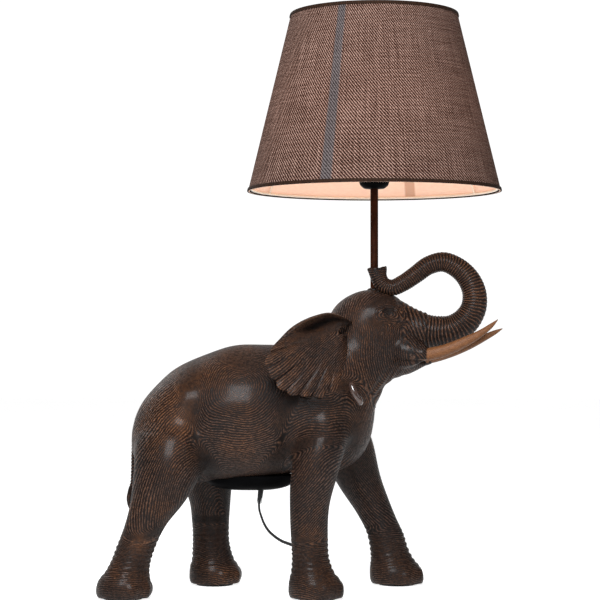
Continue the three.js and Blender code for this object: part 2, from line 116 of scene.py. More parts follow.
class Look:
    """A material under construction: short calls that add nodes and join their sockets."""

    def __init__(self, name):
        self.material = bpy.data.materials.new(name)
        self.material.use_nodes = True
        self.tree = self.material.node_tree
        self.shader = self.tree.nodes["Principled BSDF"]

    def node(self, kind, **settings):
        made = self.tree.nodes.new(kind)
        for key, value in settings.items():
            setattr(made, key, value)
        return made

    def join(self, source, target):
        self.tree.links.new(source, target)

    def set(self, **sockets):
        for key, value in sockets.items():
            self.shader.inputs[key.replace("_", " ")].default_value = value

    def place(self):
        return self.node("ShaderNodeTexCoord").outputs["Object"]

    def attribute(self, name):
        return self.node("ShaderNodeAttribute", attribute_name=name).outputs["Fac"]

    def stretched(self, vector, scale):
        mapping = self.node("ShaderNodeMapping")
        mapping.inputs["Scale"].default_value = scale
        self.join(vector, mapping.inputs["Vector"])
        return mapping.outputs["Vector"]

    def noise(self, vector, scale, detail=3.0, roughness=0.55):
        noise = self.node("ShaderNodeTexNoise")
        noise.inputs["Scale"].default_value = scale
        noise.inputs["Detail"].default_value = detail
        noise.inputs["Roughness"].default_value = roughness
        self.join(vector, noise.inputs["Vector"])
        return noise.outputs["Fac"]

    def math(self, operation, a, b=None):
        made = self.node("ShaderNodeMath", operation=operation)
        for socket, value in zip(made.inputs, (a, b)):
            if isinstance(value, (int, float)):
                socket.default_value = value
            elif value is not None:
                self.join(value, socket)
        return made.outputs[0]

    def spread(self, value, low, high, to_low=0.0, to_high=1.0):
        """The value carried from one range to another, held at its ends."""
        made = self.node("ShaderNodeMapRange")
        for socket, number in zip(made.inputs[1:5], (low, high, to_low, to_high)):
            socket.default_value = number
        self.join(value, made.inputs[0])
        return made.outputs[0]

    def ramp(self, value, stops):
        ramp = self.node("ShaderNodeValToRGB")
        elements = ramp.color_ramp.elements
        while len(elements) < len(stops):
            elements.new(0.5)
        for element, (at, color) in zip(elements, stops):
            element.position, element.color = at, (*color, 1)
        self.join(value, ramp.inputs["Fac"])
        return ramp.outputs["Color"]

    def mix(self, factor, a, b, blend="MIX"):
        made = self.node("ShaderNodeMix", data_type="RGBA", blend_type=blend)
        for socket, value in zip((made.inputs[0], made.inputs[6], made.inputs[7]), (factor, a, b)):
            if isinstance(value, tuple):
                socket.default_value = (*value, 1)
            elif isinstance(value, (int, float)):
                socket.default_value = value
            else:
                self.join(value, socket)
        return made.outputs[2]

    def bump(self, height, strength, distance):
        bump = self.node("ShaderNodeBump")
        bump.inputs["Strength"].default_value = strength
        bump.inputs["Distance"].default_value = distance
        self.join(height, bump.inputs["Height"])
        self.join(bump.outputs["Normal"], self.shader.inputs["Normal"])

    def color(self, socket):
        self.join(socket, self.shader.inputs["Base Color"])

    def rough(self, socket):
        self.join(socket, self.shader.inputs["Roughness"])

    def shine_out(self, color, strength):
        self.join(color, self.shader.inputs["Emission Color"])
        self.join(strength, self.shader.inputs["Emission Strength"])


def carved_resin():
    """Cut grooves follow the grain attribute; lacquer is worn to a redder brown in broad patches."""
    look = Look("carved_resin")
    place = look.place()
    loose = look.attribute("loose")
    wander = look.spread(look.noise(place, 75, 3), 0.3, 0.7, -1.1, 1.1)
    flutter = look.spread(look.noise(place, 380, 2), 0.3, 0.7, -1.2, 1.2)
    drift = look.math("MULTIPLY", loose, look.math("ADD", wander, flutter))
    wave = look.spread(look.math("SINE", look.math("ADD", look.attribute("grain"), drift)), -0.45, 1.0)
    broken = look.spread(look.noise(place, 260, 2), 0.36, 0.6, 0.16, 1.0)
    ridge = look.math("MULTIPLY", wave, broken)
    patches = look.noise(place, 10, 4, 0.6)
    ground = look.ramp(patches, [(0.36, (0.0020, 0.0011, 0.0009)), (0.5, (0.0034, 0.0017, 0.0012)),
                                 (0.62, (0.0074, 0.0032, 0.0018))])
    raised = look.ramp(patches, [(0.34, (0.0500, 0.0260, 0.0180)), (0.5, (0.0720, 0.0350, 0.0210)),
                                 (0.66, (0.1240, 0.0510, 0.0220))])
    rubbed = look.spread(look.noise(place, 60, 3), 0.35, 0.65)
    worn = look.math("MULTIPLY", look.attribute("worn"), rubbed)
    color = look.mix(look.math("ADD", ridge, look.math("MULTIPLY", worn, 0.25)), ground,
                     look.mix(worn, raised, (0.150, 0.060, 0.024)))
    # The shadow attribute mixes painted shade, near black, into the colour.
    look.color(look.mix(look.attribute("shadow"), color, (0.002, 0.0012, 0.001)))
    look.rough(look.spread(ridge, 0.0, 0.8, 0.56, 0.38))
    look.set(Coat_Weight=0.06, Coat_Roughness=0.2, Specular_IOR_Level=0.11)
    look.bump(ridge, 0.9, 0.0016)
    return look.material


def tusk_resin():
    """Light tan with a grain that runs along the tusk."""
    look = Look("tusk_resin")
    uv = look.node("ShaderNodeUVMap", uv_map="wrap").outputs["UV"]
    streaks = look.noise(look.stretched(uv, (3.5, 26, 1)), 5, 6, 0.65)
    fine = look.noise(look.stretched(uv, (9, 150, 1)), 5, 3, 0.6)
    both = look.math("ADD", look.math("MULTIPLY", streaks, 0.65), look.math("MULTIPLY", fine, 0.35))
    color = look.ramp(both, [(0.34, (0.032, 0.0115, 0.0038)), (0.46, (0.077, 0.029, 0.0100)),
                             (0.56, (0.128, 0.053, 0.019)), (0.68, (0.190, 0.086, 0.033))])
    look.color(color)
    look.set(Roughness=0.5, Specular_IOR_Level=0.16)
    look.bump(both, 0.5, 0.0006)
    return look.material


def speckled(name, dark, light, rough, scale=500, metallic=0.0, relief=0.00008, coat=0.0,
             shine=0.18):
    """A plain moulded, painted or plated finish, with faint cloudiness and a fine skin."""
    look = Look(name)
    place = look.place()
    cloud = look.noise(place, 35, 3)
    grain = look.noise(place, scale, 3)
    look.color(look.mix(look.spread(look.math("ADD", cloud, grain), 0.8, 1.2), dark, light))
    look.rough(look.spread(cloud, 0.3, 0.7, rough[0], rough[1]))
    look.set(Metallic=metallic, Coat_Weight=coat, Specular_IOR_Level=0.5 if metallic else shine)
    look.bump(grain, 0.4, relief)
    return look.material


RIB_PITCH, WARP_PITCH, WEFT_PITCH = 0.0036, 0.0019, 0.0016


def shade_weave():
    """A brown twill: slanting ribs over crossed threads, with slubs, and warm light coming through."""
    look = Look("shade_weave")
    uv = look.node("ShaderNodeUVMap", uv_map="wrap").outputs["UV"]
    parts = look.node("ShaderNodeSeparateXYZ")
    look.join(uv, parts.inputs[0])
    across, up = parts.outputs["X"], parts.outputs["Y"]
    slub_up = look.noise(look.stretched(uv, (520, 14, 1)), 1, 2)
    slub_across = look.noise(look.stretched(uv, (14, 520, 1)), 1, 2)
    drift = look.math("MULTIPLY", look.math("ADD", slub_up, slub_across), 2.4)
    slant = look.math("ADD", across, look.math("MULTIPLY", up, 0.8))
    rib = look.math("SINE", look.math("ADD", look.math("MULTIPLY", slant, TAU / RIB_PITCH), drift))
    warp = look.math("SINE", look.math("MULTIPLY", across, TAU / WARP_PITCH))
    weft = look.math("SINE", look.math("MULTIPLY", up, TAU / WEFT_PITCH))
    threads = look.math("MULTIPLY", warp, weft)
    height = look.math("ADD", look.math("MULTIPLY", rib, 0.6), look.math("MULTIPLY", threads, 0.4))
    tone = look.math("ADD", look.spread(height, -0.9, 0.9, 0.0, 0.85),
                     look.math("MULTIPLY", look.math("SUBTRACT", slub_up, slub_across), 0.35))
    color = look.ramp(tone, [(0.18, (0.008, 0.0034, 0.0022)), (0.45, (0.043, 0.0215, 0.0155)),
                             (0.66, (0.140, 0.080, 0.061)), (0.80, (0.285, 0.192, 0.158))])
    # Painted shade on the seams: the doubled cloth lets less of the bulb's light through, so the seam is
    # drawn darker and greyer, and its glow, taken from this colour, is weaker too.
    seam_shade = look.ramp(tone, [(0.10, (0.010, 0.0085, 0.0085)), (0.45, (0.040, 0.033, 0.033)),
                            (0.8, (0.115, 0.098, 0.097))])
    color = look.mix(look.attribute("seam"), color, seam_shade)
    look.color(color)
    look.shine_out(look.mix(1.0, color, (1.0, 0.50, 0.30), "MULTIPLY"), look.attribute("glow"))
    look.set(Roughness=0.9, Specular_IOR_Level=0.03)
    look.bump(height, 0.55, 0.0004)
    return look.material


def trim_cloth():
    """Dark brown ribbed tape."""
    look = Look("trim_cloth")
    uv = look.node("ShaderNodeUVMap", uv_map="wrap").outputs["UV"]
    ribs = look.noise(look.stretched(uv, (900, 200, 1)), 1, 2)
    look.color(look.ramp(ribs, [(0.3, (0.005, 0.0022, 0.0010)), (0.7, (0.021, 0.0080, 0.0032))]))
    look.set(Roughness=0.8, Specular_IOR_Level=0.1)
    look.bump(ribs, 0.5, 0.0003)
    return look.material


def lit_lining():
    """Cream film that glows with the bulb's light, brightest at the bulb's height."""
    look = Look("lit_lining")
    place = look.place()
    fibres = look.noise(look.stretched(place, (1, 1, 5)), 160, 3)
    color = look.ramp(fibres, [(0.3, (0.58, 0.40, 0.30)), (0.7, (0.66, 0.48, 0.38))])
    # Painted shade at the seams, where the doubled film lets less of the bulb's light through: a darker
    # colour and a weaker glow.
    look.color(look.mix(look.attribute("seam"), color, (0.34, 0.19, 0.12)))
    warm = look.mix(look.attribute("seam"), (0.92, 0.61, 0.47), (0.52, 0.29, 0.19))
    look.shine_out(warm, look.attribute("glow"))
    look.set(Roughness=0.7)
    look.bump(fibres, 0.3, 0.0002)
    return look.material


def lit_glass():
    """Frosted opal glass with the light inside it."""
    look = Look("lit_glass")
    place = look.place()
    frost = look.noise(place, 300, 2)
    look.color(look.ramp(frost, [(0.3, (0.93, 0.86, 0.74)), (0.7, (1.0, 0.95, 0.86))]))
    look.join(look.ramp(frost, [(0.2, (1.0, 0.74, 0.48)), (0.8, (1.0, 0.82, 0.60))]),
              look.shader.inputs["Emission Color"])
    look.set(Roughness=0.35, Transmission_Weight=0.25, Emission_Strength=2.2)
    return look.material


RESIN, TUSK = carved_resin(), tusk_resin()
GLOSS = speckled("smooth_resin", (0.020, 0.011, 0.009), (0.045, 0.026, 0.020), (0.16, 0.3), 160,
                 coat=0.8)
WEAVE, TRIM, LINING, GLASS = shade_weave(), trim_cloth(), lit_lining(), lit_glass()
BLACK = speckled("black_moulding", (0.0006, 0.0006, 0.0007), (0.0016, 0.0016, 0.0018), (0.4, 0.55),
                  shine=0.015)
FLEX = speckled("black_flex", (0.003, 0.003, 0.003), (0.006, 0.006, 0.006), (0.35, 0.5), 900, shine=0.16)
FITTING = speckled("black_fitting", (0.004, 0.004, 0.0044), (0.008, 0.008, 0.0086), (0.3, 0.44),
                   shine=0.22)
FLANGE = speckled("black_lacquer", (0.004, 0.003, 0.003), (0.009, 0.006, 0.005), (0.3, 0.42))
BRONZE = speckled("bronze_lacquer", (0.012, 0.0030, 0.0010), (0.028, 0.0080, 0.0026), (0.4, 0.5), 220,
                  shine=0.04)
STEEL = speckled("zinc_plate", (0.50, 0.51, 0.53), (0.66, 0.66, 0.67), (0.28, 0.42), 260, 1.0)
BRASS = speckled("plain_brass", (0.58, 0.40, 0.15), (0.76, 0.56, 0.26), (0.25, 0.4), 260, 1.0)
CREAM = speckled("cream_powder_coat", (0.74, 0.62, 0.50), (0.84, 0.74, 0.62), (0.45, 0.6), 800)
FELT = speckled("black_felt", (0.006, 0.006, 0.006), (0.022, 0.021, 0.020), (0.85, 0.98), 1500,
                 relief=0.0005)
LEAD = speckled("white_lead", (0.62, 0.60, 0.55), (0.74, 0.72, 0.68), (0.4, 0.55), 700)


# ---- Meshes ----

def piece(name, points, faces, body, look, replaces=(), attributes=None, wrap=None):
    """A smooth mesh from an array of points and a list of face arrays, riding on a body."""
    mesh = bpy.data.meshes.new(name)
    loops = np.concatenate([f.ravel() for f in faces]).astype(np.int32)
    totals = np.concatenate([np.full(len(f), f.shape[1], np.int32) for f in faces])
    mesh.vertices.add(len(points))
    mesh.vertices.foreach_set("co", (points * MM).astype(np.float32).ravel())
    mesh.loops.add(len(loops))
    mesh.loops.foreach_set("vertex_index", loops)
    mesh.polygons.add(len(totals))
    starts = np.concatenate([[0], np.cumsum(totals)[:-1]])
    mesh.polygons.foreach_set("loop_start", starts.astype(np.int32))
    mesh.polygons.foreach_set("loop_total", totals)
    mesh.update(calc_edges=True)
    mesh.shade_smooth()
    if wrap is not None:
        layer = mesh.uv_layers.new(name="wrap")
        layer.data.foreach_set("uv", wrap[loops].astype(np.float32).ravel())
    for key, values in (attributes or {}).items():
        layer = mesh.attributes.new(key, "FLOAT", "POINT")
        layer.data.foreach_set("value", np.broadcast_to(values, len(points)).astype(np.float32))
    mesh.materials.append(look)
    made = bpy.data.objects.new(name, mesh)
    bpy.context.collection.objects.link(made)
    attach(made, body)
    if replaces:
        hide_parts(*replaces)
    return made


def carved(name, points, faces, node, grain, worn=0.0, shadow=0.0, loose=1.0, look=None):
    """A piece of the casting: the phase of its cut lines, how worn they are, how much painted shade darkens
    them and how unsteady the lines are.
    """
    return piece(name, points, faces, BASE, look or RESIN, [node],
                 {"grain": grain, "worn": worn, "shadow": shadow, "loose": loose})


def lattice(rows, columns, close_rows=False, close_columns=True):
    """Four-sided faces over a grid of points numbered along its rows."""
    i = np.arange(rows if close_rows else rows - 1)[:, None]
    j = np.arange(columns if close_columns else columns - 1)[None, :]
    down, right = (i + 1) % rows, (j + 1) % columns
    corners = [i * columns + j, i * columns + right, down * columns + right, down * columns + j]
    return np.stack([np.broadcast_to(c, (i.shape[0], j.shape[1])) for c in corners], -1).reshape(-1, 4)


def cap(tip, ring, turned=False):
    """Triangles from one point to a closed ring of points."""
    faces = np.stack([np.full(len(ring), tip), ring, np.roll(ring, -1)], 1)
    return faces[:, ::-1] if turned else faces


def circle(sides):
    """Evenly spaced angles once round."""
    return np.arange(sides) / sides * TAU


def turned_profile(profile, center, sides=64):
    """A profile of (radius, height) points turned about a vertical axis. A profile that starts off the axis
    is taken as closed on itself; one that starts and ends on the axis closes there."""
    r, z = np.array(profile, float).T
    angle = circle(sides)
    points = np.stack([center[0] + r[:, None] * np.cos(angle), center[1] + r[:, None] * np.sin(angle),
                       np.broadcast_to(z[:, None], (len(r), sides))], -1).reshape(-1, 3)
    return points, [lattice(len(r), sides, close_rows=r[0] > 0)]


def rounded(profile, radius, steps=4, closed=True):
    """The profile with each corner replaced by a short curve that starts and ends this far from it."""
    p = np.array(profile, float)
    out = []
    for k in range(len(p)):
        if not closed and k in (0, len(p) - 1):
            out.append(p[k])
            continue
        before, here, after = p[k - 1], p[k], p[(k + 1) % len(p)]
        reach = [min(radius, 0.45 * np.linalg.norm(q - here)) for q in (before, after)]
        a = here + (before - here) / np.linalg.norm(before - here) * reach[0]
        b = here + (after - here) / np.linalg.norm(after - here) * reach[1]
        for t in np.linspace(0, 1, steps):
            out.append((1 - t) ** 2 * a + 2 * t * (1 - t) * here + t ** 2 * b)
    return np.array(out)


def cubic(at, known, values):
    """Smooth values through known points: cubic pieces whose slopes are those between neighbours."""
    known, values = np.asarray(known, float), np.asarray(values, float)
    slope = np.gradient(values, known, axis=0)
    i = np.clip(np.searchsorted(known, at) - 1, 0, len(known) - 2)
    span = known[i + 1] - known[i]
    t = np.clip((at - known[i]) / span, 0, 1)
    if values.ndim > 1:
        span, t = span[..., None], t[..., None]
    h = 2 * t ** 3 - 3 * t ** 2 + 1, t ** 3 - 2 * t ** 2 + t, 3 * t ** 2 - 2 * t ** 3, t ** 3 - t ** 2
    return h[0] * values[i] + h[1] * span * slope[i] + h[2] * values[i + 1] + h[3] * span * slope[i + 1]


def along(points):
    """Distance from the first point to each point, following the line."""
    return np.concatenate([[0], np.cumsum(np.linalg.norm(np.diff(points, axis=0), axis=1))])


def smooth_path(points, step):
    """Points about a step apart on the smooth curve through the given ones."""
    p = np.array(points, float)
    s = along(p)
    fine = cubic(np.linspace(0, s[-1], 4000), s, p)
    length = along(fine)
    at = np.linspace(0, length[-1], max(3, int(length[-1] / step) + 1))
    return np.stack([np.interp(at, length, fine[:, k]) for k in range(3)], 1)


def stations(rows, step):
    """Points about a step apart through stations of x, y, z and radius, how far along they are, and radii."""
    path = smooth_path(rows[:, :3], step)
    s = along(path)
    return path, s, cubic(s, along(rows[:, :3]), rows[:, 3])


def frames(path, first_side):
    """Directions along a path and two square to it, carried from point to point without twisting."""
    way = np.gradient(path, axis=0)
    way /= np.linalg.norm(way, axis=1, keepdims=True)
    side = np.empty_like(path)
    now = np.array(first_side, float)
    for i, t in enumerate(way):
        now = now - t * now.dot(t)
        now /= np.linalg.norm(now)
        side[i] = now
    return way, side, np.cross(way, side)


def end_caps(rings, sides):
    """Caps on the first and last of these rings, whose two middle points come after them."""
    total, j = rings * sides, np.arange(sides)
    return [cap(total, j, turned=True), cap(total + 1, total - sides + j)]


def swept(path, side, up, radius, squash=1.0, sides=32):
    """A skin whose rings stand on the path; the radius is a number, one per ring, or one per point. Both
    ends close in a point."""
    angle = circle(sides)
    r = np.asarray(radius, float)
    r = np.broadcast_to(r[:, None] if r.ndim == 1 else r, (len(path), sides))[..., None]
    rings = path[:, None] + r * (side[:, None] * np.cos(angle)[None, :, None]
                                 + squash * up[:, None] * np.sin(angle)[None, :, None])
    points = np.concatenate([rings.reshape(-1, 3), path[[0, -1]]])
    return points, [lattice(len(path), sides), *end_caps(len(path), sides)]


def sway(points, count, length, seed):
    """Gentle noise: a sum of sine waves that run in fixed scattered directions, between about -1 and 1."""
    pick = np.random.default_rng(seed)
    way = pick.normal(size=(count, 3))
    pace = (TAU / length) * pick.uniform(0.6, 1.6, (count, 1))
    way *= pace / np.linalg.norm(way, axis=1, keepdims=True)
    return np.sin(points @ way.T + pick.uniform(0, TAU, count)).sum(1) / math.sqrt(count)


# ---- The elephant's shape: a field that is below zero inside the casting ----

# Torso: x, middle height, half width, half height
TORSO = np.array([(-215, 193, 66, 60), (-190, 200, 73, 66), (-160, 211, 75, 73), (-120, 222, 80, 82),
                  (-80, 229, 84, 86), (-40, 230, 82, 85), (0, 234, 76, 80), (35, 242, 68, 72),
                  (85, 262, 58, 62)], float)
RUMP_START, RUMP_LONG, FRONT_START, FRONT_LONG = -150, 65, 15, 70      # where it closes, and over what
# Legs, from the sole up: x, y, z, radius
LEGS = {name: np.array(rows, float) for name, rows in {
    "front_right": [(20.6, -72, 0, 31.5), (20.5, -72, 5, 33.8), (20, -72, 15, 34.2), (18.5, -72, 24, 32),
                    (16, -72, 33, 27.6), (14, -72, 45, 24.6), (12, -72, 76, 23.3), (12, -71, 108, 24.5),
                    (19, -68, 160, 30), (28, -56, 200, 35), (33, -38, 255, 24)],
    "front_left": [(127.6, 72, 0, 31.5), (127.3, 72, 5, 34), (126.5, 72, 15, 34.4), (124.5, 72, 24, 32),
                   (121.5, 72, 33, 27.8), (118, 72, 45, 25), (112, 72, 68, 24.3), (101, 71, 91, 25.2),
                   (78, 67, 135, 30), (58, 56, 188, 36), (46, 36, 250, 24)],
    "rear_right": [(-219.5, -70, 0, 30.5), (-219.5, -70, 5, 33), (-219, -70, 15, 33.8), (-218, -70, 24, 31.5),
                   (-215, -70, 33, 27.2), (-211, -70, 45, 24.4), (-203, -69, 66, 24), (-192, -68, 90, 26),
                   (-178, -66, 118, 33), (-166, -60, 152, 42), (-158, -46, 195, 47), (-150, -20, 258, 22)],
    "rear_left": [(-112, 72, 0, 31), (-112, 72, 5, 33.6), (-112, 72, 15, 34), (-113, 72, 24, 31.8),
                  (-114.5, 72, 33, 27.4), (-116, 71, 45, 25), (-117, 70, 80, 24.2), (-118, 68, 110, 27),
                  (-124, 64, 142, 36), (-134, 50, 192, 46), (-140, 24, 255, 28)],
}.items()}
SOLE = 2.3
# Head lumps: centre and half sizes
HEAD = {"cranium": ((86.5, -1, 337.5), (50, 43, 46)), "brow": ((100, -3, 352), (34, 38, 30)),
        "face": ((120, -4, 320), (43, 37, 39)), "jaw": ((118, -4, 297), (43, 25, 20)),
        "right_socket": ((139, -31, 309), (19, 14, 18)), "left_socket": ((143, 21, 300), (19, 15, 18))}
HEAD_FILLS = {"brow": 14, "face": 16, "jaw": 10, "right_socket": 6, "left_socket": 6}
EYES = ((112, -40.5, 357), (114, 36, 350))
# Trunk: x, y, z, radius
TRUNK = np.array([(128, -5, 337, 31), (150, -8, 332.5, 25), (174, -9, 331.5, 20.6), (195, -10, 334.5, 19),
                  (211, -10.5, 345, 17.8), (221.5, -11, 362, 16.4), (222.5, -11.5, 381, 15.4),
                  (214.5, -12, 400, 14.3), (200, -12.5, 414, 13.3), (183, -13, 420.8, 12.6),
                  (165, -13.5, 416.7, 12), (147, -14, 404.3, 11.3), (131, -15, 393.6, 10.8),
                  (117, -16.5, 388, 10.3), (106.5, -17.5, 391.5, 10), (100.5, -18, 401, 10.3),
                  (98.6, -18, 411.5, 11.6)], float)
ROOT = 21.0                 # how far along its line the trunk's own skin starts
LIP_ROWS = 9                # rings at its tip whose rim waves up and down


def softly(a, b, width):
    """The lesser of two fields, with the corner between them filled over the given width."""
    h = np.clip(0.5 + 0.5 * (b - a) / width, 0, 1)
    return b * (1 - h) + a * h - width * h * (1 - h)


def oval(p, centre, half):
    """Distance to an ellipsoid, to first order: the scaled radius less one, over its slope."""
    q = (p - np.array(centre, np.float32)) / np.array(half, np.float32)
    k = np.linalg.norm(q, axis=1) + 1e-6
    return k * (k - 1) / (np.linalg.norm(q / np.array(half, np.float32), axis=1) + 1e-9)


def rod_between(p, a, b, ra, rb):
    """Distance to a round bar whose radius changes evenly from end to end."""
    a, b = np.array(a, np.float32), np.array(b, np.float32)
    h = np.clip((p - a) @ (b - a) / (b - a).dot(b - a), 0, 1)
    return np.linalg.norm(p - a - h[:, None] * (b - a), axis=1) - (ra + (rb - ra) * h)


def torso_field(p):
    """Elliptical sections along x; the rump and the front close as rounded quarters do."""
    x = p[:, 0]
    z0, w, h = cubic(x, TORSO[:, 0], TORSO[:, 1:]).T
    close = np.clip(1 - (np.clip(RUMP_START - x, 0, RUMP_LONG) / RUMP_LONG) ** 2.4, 1e-3, 1) ** 0.42
    front = np.clip(x - FRONT_START, 0, FRONT_LONG) / FRONT_LONG
    close *= np.sqrt(np.clip(1 - front ** 2, 1e-3, 1))
    w, h = w * close, h * close
    dz = p[:, 2] - z0
    k = np.sqrt((p[:, 1] / w) ** 2 + (dz / h) ** 2) + 1e-6
    field = k * (k - 1) / (np.sqrt((p[:, 1] / w ** 2) ** 2 + (dz / h ** 2) ** 2) + 1e-9)
    return np.maximum(field, np.maximum(RUMP_START - RUMP_LONG - x, x - (FRONT_START + FRONT_LONG)))


def leg_field(p, rows):
    """Round sections at each height, whose middle and radius follow the leg."""
    x, y, r = cubic(p[:, 2], rows[:, 2], rows[:, [0, 1, 3]]).T
    top = rows[-1, 2]
    r = r * np.sqrt(np.clip((top - p[:, 2]) / 55, 1e-3, 1))
    field = (np.hypot(p[:, 0] - x, p[:, 1] - y) - r) * 0.95
    toes = p[:, 2] < 34
    if toes.any():
        q, foot = p[toes], field[toes]
        for turn in (-66, -24, 20, 62):
            c, s = math.cos(math.radians(turn)), math.sin(math.radians(turn))
            nail = (rows[2, 0] + 27.8 * c, rows[2, 1] + 27.8 * s, 12)
            foot = softly(foot, oval(q, nail, (9, 9, 11.5)), 2.5)
        field[toes] = foot
    return np.maximum(field, p[:, 2] - top)


def head_field(p):
    d = oval(p, *HEAD["cranium"])
    for name, width in HEAD_FILLS.items():
        d = softly(d, oval(p, *HEAD[name]), width)
    d = softly(d, rod_between(p, (118, -4, 294), (158, -6, 293), 17, 4), 7)
    d = softly(d, rod_between(p, TRUNK[0, :3], TRUNK[1, :3], TRUNK[0, 3], TRUNK[1, 3] - 0.4), 5)
    d = softly(d, rod_between(p, TRUNK[1, :3], (166, -8.6, 331.6), TRUNK[1, 3] - 0.4, 19.5), 4)
    d = softly(d, rod_between(p, (134, -31, 305), (154, -40, 303.3), 17.5, 11.2), 9)
    d = softly(d, rod_between(p, (138, 17, 302), (164, 18, 299.5), 16, 10.6), 9)
    for eye in EYES:
        d = -softly(-d, rod_between(p, eye, (eye[0], eye[1] * 1.3, eye[2]), 3, 10), 9)
    return d


def elephant_field(p):
    """Everything that is cast: torso, chest, neck, legs and head, run together."""
    p = p.astype(np.float32)
    d = softly(torso_field(p), oval(p, (42, 0, 214), (50, 58, 60)), 22)
    d = softly(d, rod_between(p, (30, 0, 250), (90, 0, 315), 64, 44), 22)
    for rows in LEGS.values():
        near = np.hypot(p[:, 0] - rows[:, 0].mean(), p[:, 1] - rows[:, 1].mean()) < 130
        d[near] = softly(d[near], leg_field(p[near], rows), 13)
    near = (p[:, 0] > 20) & (p[:, 2] > 190)
    d[near] = softly(d[near], head_field(p[near]), 16)
    return np.maximum(d, SOLE - p[:, 2])


NECK_CUT = np.array([0.886, 0.0, 0.464]), np.array([50.0, 0.0, 330.0])


def past_neck(p):
    """Distance forwards of the slanting plane where the head casting meets the body casting."""
    return (p - NECK_CUT[1]) @ NECK_CUT[0]


def surface_net(field, low, high, step):
    """Four-sided faces over the field's zero surface. Each grid cell that the surface crosses holds one
    point, the mean of where it cuts the cell's edges; each edge it cuts joins the four cells round it."""
    axes = [np.arange(a, b + step, step, dtype=np.float32) for a, b in zip(low, high)]
    shape = tuple(len(a) for a in axes)
    values = np.empty(shape, np.float32)
    yz = np.stack(np.meshgrid(axes[1], axes[2], indexing="ij"), -1).reshape(-1, 2)
    for i, x in enumerate(axes[0]):
        values[i] = field(np.column_stack([np.full(len(yz), x, np.float32), yz])).reshape(shape[1:])
    total = np.zeros((*shape, 3), np.float32)
    count = np.zeros(shape, np.int32)
    crossings = []
    for axis in range(3):
        near = [slice(None)] * 3
        far = [slice(None)] * 3
        near[axis], far[axis] = slice(0, -1), slice(1, None)
        a, b = values[tuple(near)], values[tuple(far)]
        at = np.argwhere((a < 0) != (b < 0))
        at = at[(at > 0).all(1)]
        va, vb = a[tuple(at.T)], b[tuple(at.T)]
        cut = at.astype(np.float32)
        cut[:, axis] += va / (va - vb)
        u, v = (axis + 1) % 3, (axis + 2) % 3
        cells = []
        for du, dv in ((0, 0), (1, 0), (1, 1), (0, 1)):
            cell = at.copy()
            cell[:, u] -= du
            cell[:, v] -= dv
            np.add.at(total, tuple(cell.T), cut)
            np.add.at(count, tuple(cell.T), 1)
            cells.append(cell)
        crossings.append((cells, va < 0))
    used = count > 0
    number = np.cumsum(used.ravel()).reshape(shape) - 1
    points = total[used] / count[used][:, None] * step + np.array([a[0] for a in axes])
    faces = []
    for cells, outward in crossings:
        quad = np.stack([number[tuple(c.T)] for c in cells], 1)
        quad[~outward] = quad[~outward][:, ::-1]
        faces.append(quad)
    return points, np.concatenate(faces)


def slopes(field, p, h=0.4):
    """The field's slope at each point, from steps of h each way."""
    return np.stack([(field(p + step) - field(p - step)) / (2 * h) for step in np.eye(3) * h], 1)


def settled(field, points, rounds=2):
    """The points moved onto the zero surface by Newton's rule, and the directions out of it there."""
    for _ in range(rounds):
        g = slopes(field, points)
        points = points - (field(points) / np.maximum((g ** 2).sum(1), 1e-3))[:, None] * g * 0.9
    return points, g / np.linalg.norm(g, axis=1, keepdims=True)


# ---- Carving: where the cut lines run, and how folds and hollows move the skin ----

LINE_PITCH, FACE_PITCH = 2.7, 4.6
FOLD_PITCH, THROAT_PITCH = 6.4, 7.5


def weight(p, centre, spread):
    """A bell-shaped weight round a centre, with its own width along each axis."""
    return np.exp(-(((p - np.array(centre, float)) / np.array(spread, float)) ** 2).sum(1))


def heaped(p, *rows):
    """The sum of bell-shaped weights, each with its height, centre and spread."""
    return sum(height * weight(p, centre, spread) for height, centre, spread in rows)


def folded(p):
    """The points with the left half turned over onto the right: what both sides of the body share."""
    return np.column_stack([p[:, 0], np.abs(p[:, 1]), p[:, 2]])


def away(q, centre, scale=(1, 1, 1)):
    return np.linalg.norm((q - np.array(centre, float)) * scale, axis=1)


def grain_phase(p):
    """Phase of the cut lines at each point: a weighted mean of distances from what they curl round."""
    p = p + 3.2 * np.stack([sway(p, 8, 75, seed) for seed in (21, 22, 23)], 1)
    x, _, z = p.T
    q = folded(p)
    rings = [
        (away(q, (-76, 80, 262), (0.85, 1, 1)), weight(q, (-75, 80, 235), (60, 90, 66))),
        (away(q, (-52, 60, 100)) - 72, weight(q, (-190, 60, 190), (60, 90, 85))),
        (away(q, (34, 60, 145)), weight(q, (22, 60, 222), (42, 70, 30))),
        ((x - z) / math.sqrt(2) + 150, 1.3 * weight(q, (20, 72, 125), (48, 60, 52))),
        ((x + z) / math.sqrt(2), weight(p, (90, 68, 130), (50, 50, 60))),
        (1.3 * z + 0.10 * x + 25, 3.0 * np.exp(-(np.clip(z, 0, None) / 62) ** 4)),
        (away(q, (196, 34, 316)), 1.1 * weight(q, (106, 40, 300), (50, 60, 52))),
        ((0.9 * x + 0.25 * z) * LINE_PITCH / FACE_PITCH - 45,
         2.6 * weight(p, (158, -8, 335), (32, 44, 42))),
        (away(q, (132, 40, 330)) + 60, 1.2 * weight(q, (74, 20, 362), (36, 60, 26))),
        (away(q, (111, 39, 352), (0.7, 1, 1.2)) + 70, 5.0 * weight(q, (111, 39, 355), (17, 16, 13))),
        (x * 0.95 + 0.2 * z - 15, 0.7 * weight(p, (78, 0, 240), (36, 90, 40))),
    ]
    total = sum(w ** 3 for _, w in rings) + 1e-6
    return TAU / LINE_PITCH * sum(d * w ** 3 for d, w in rings) / total


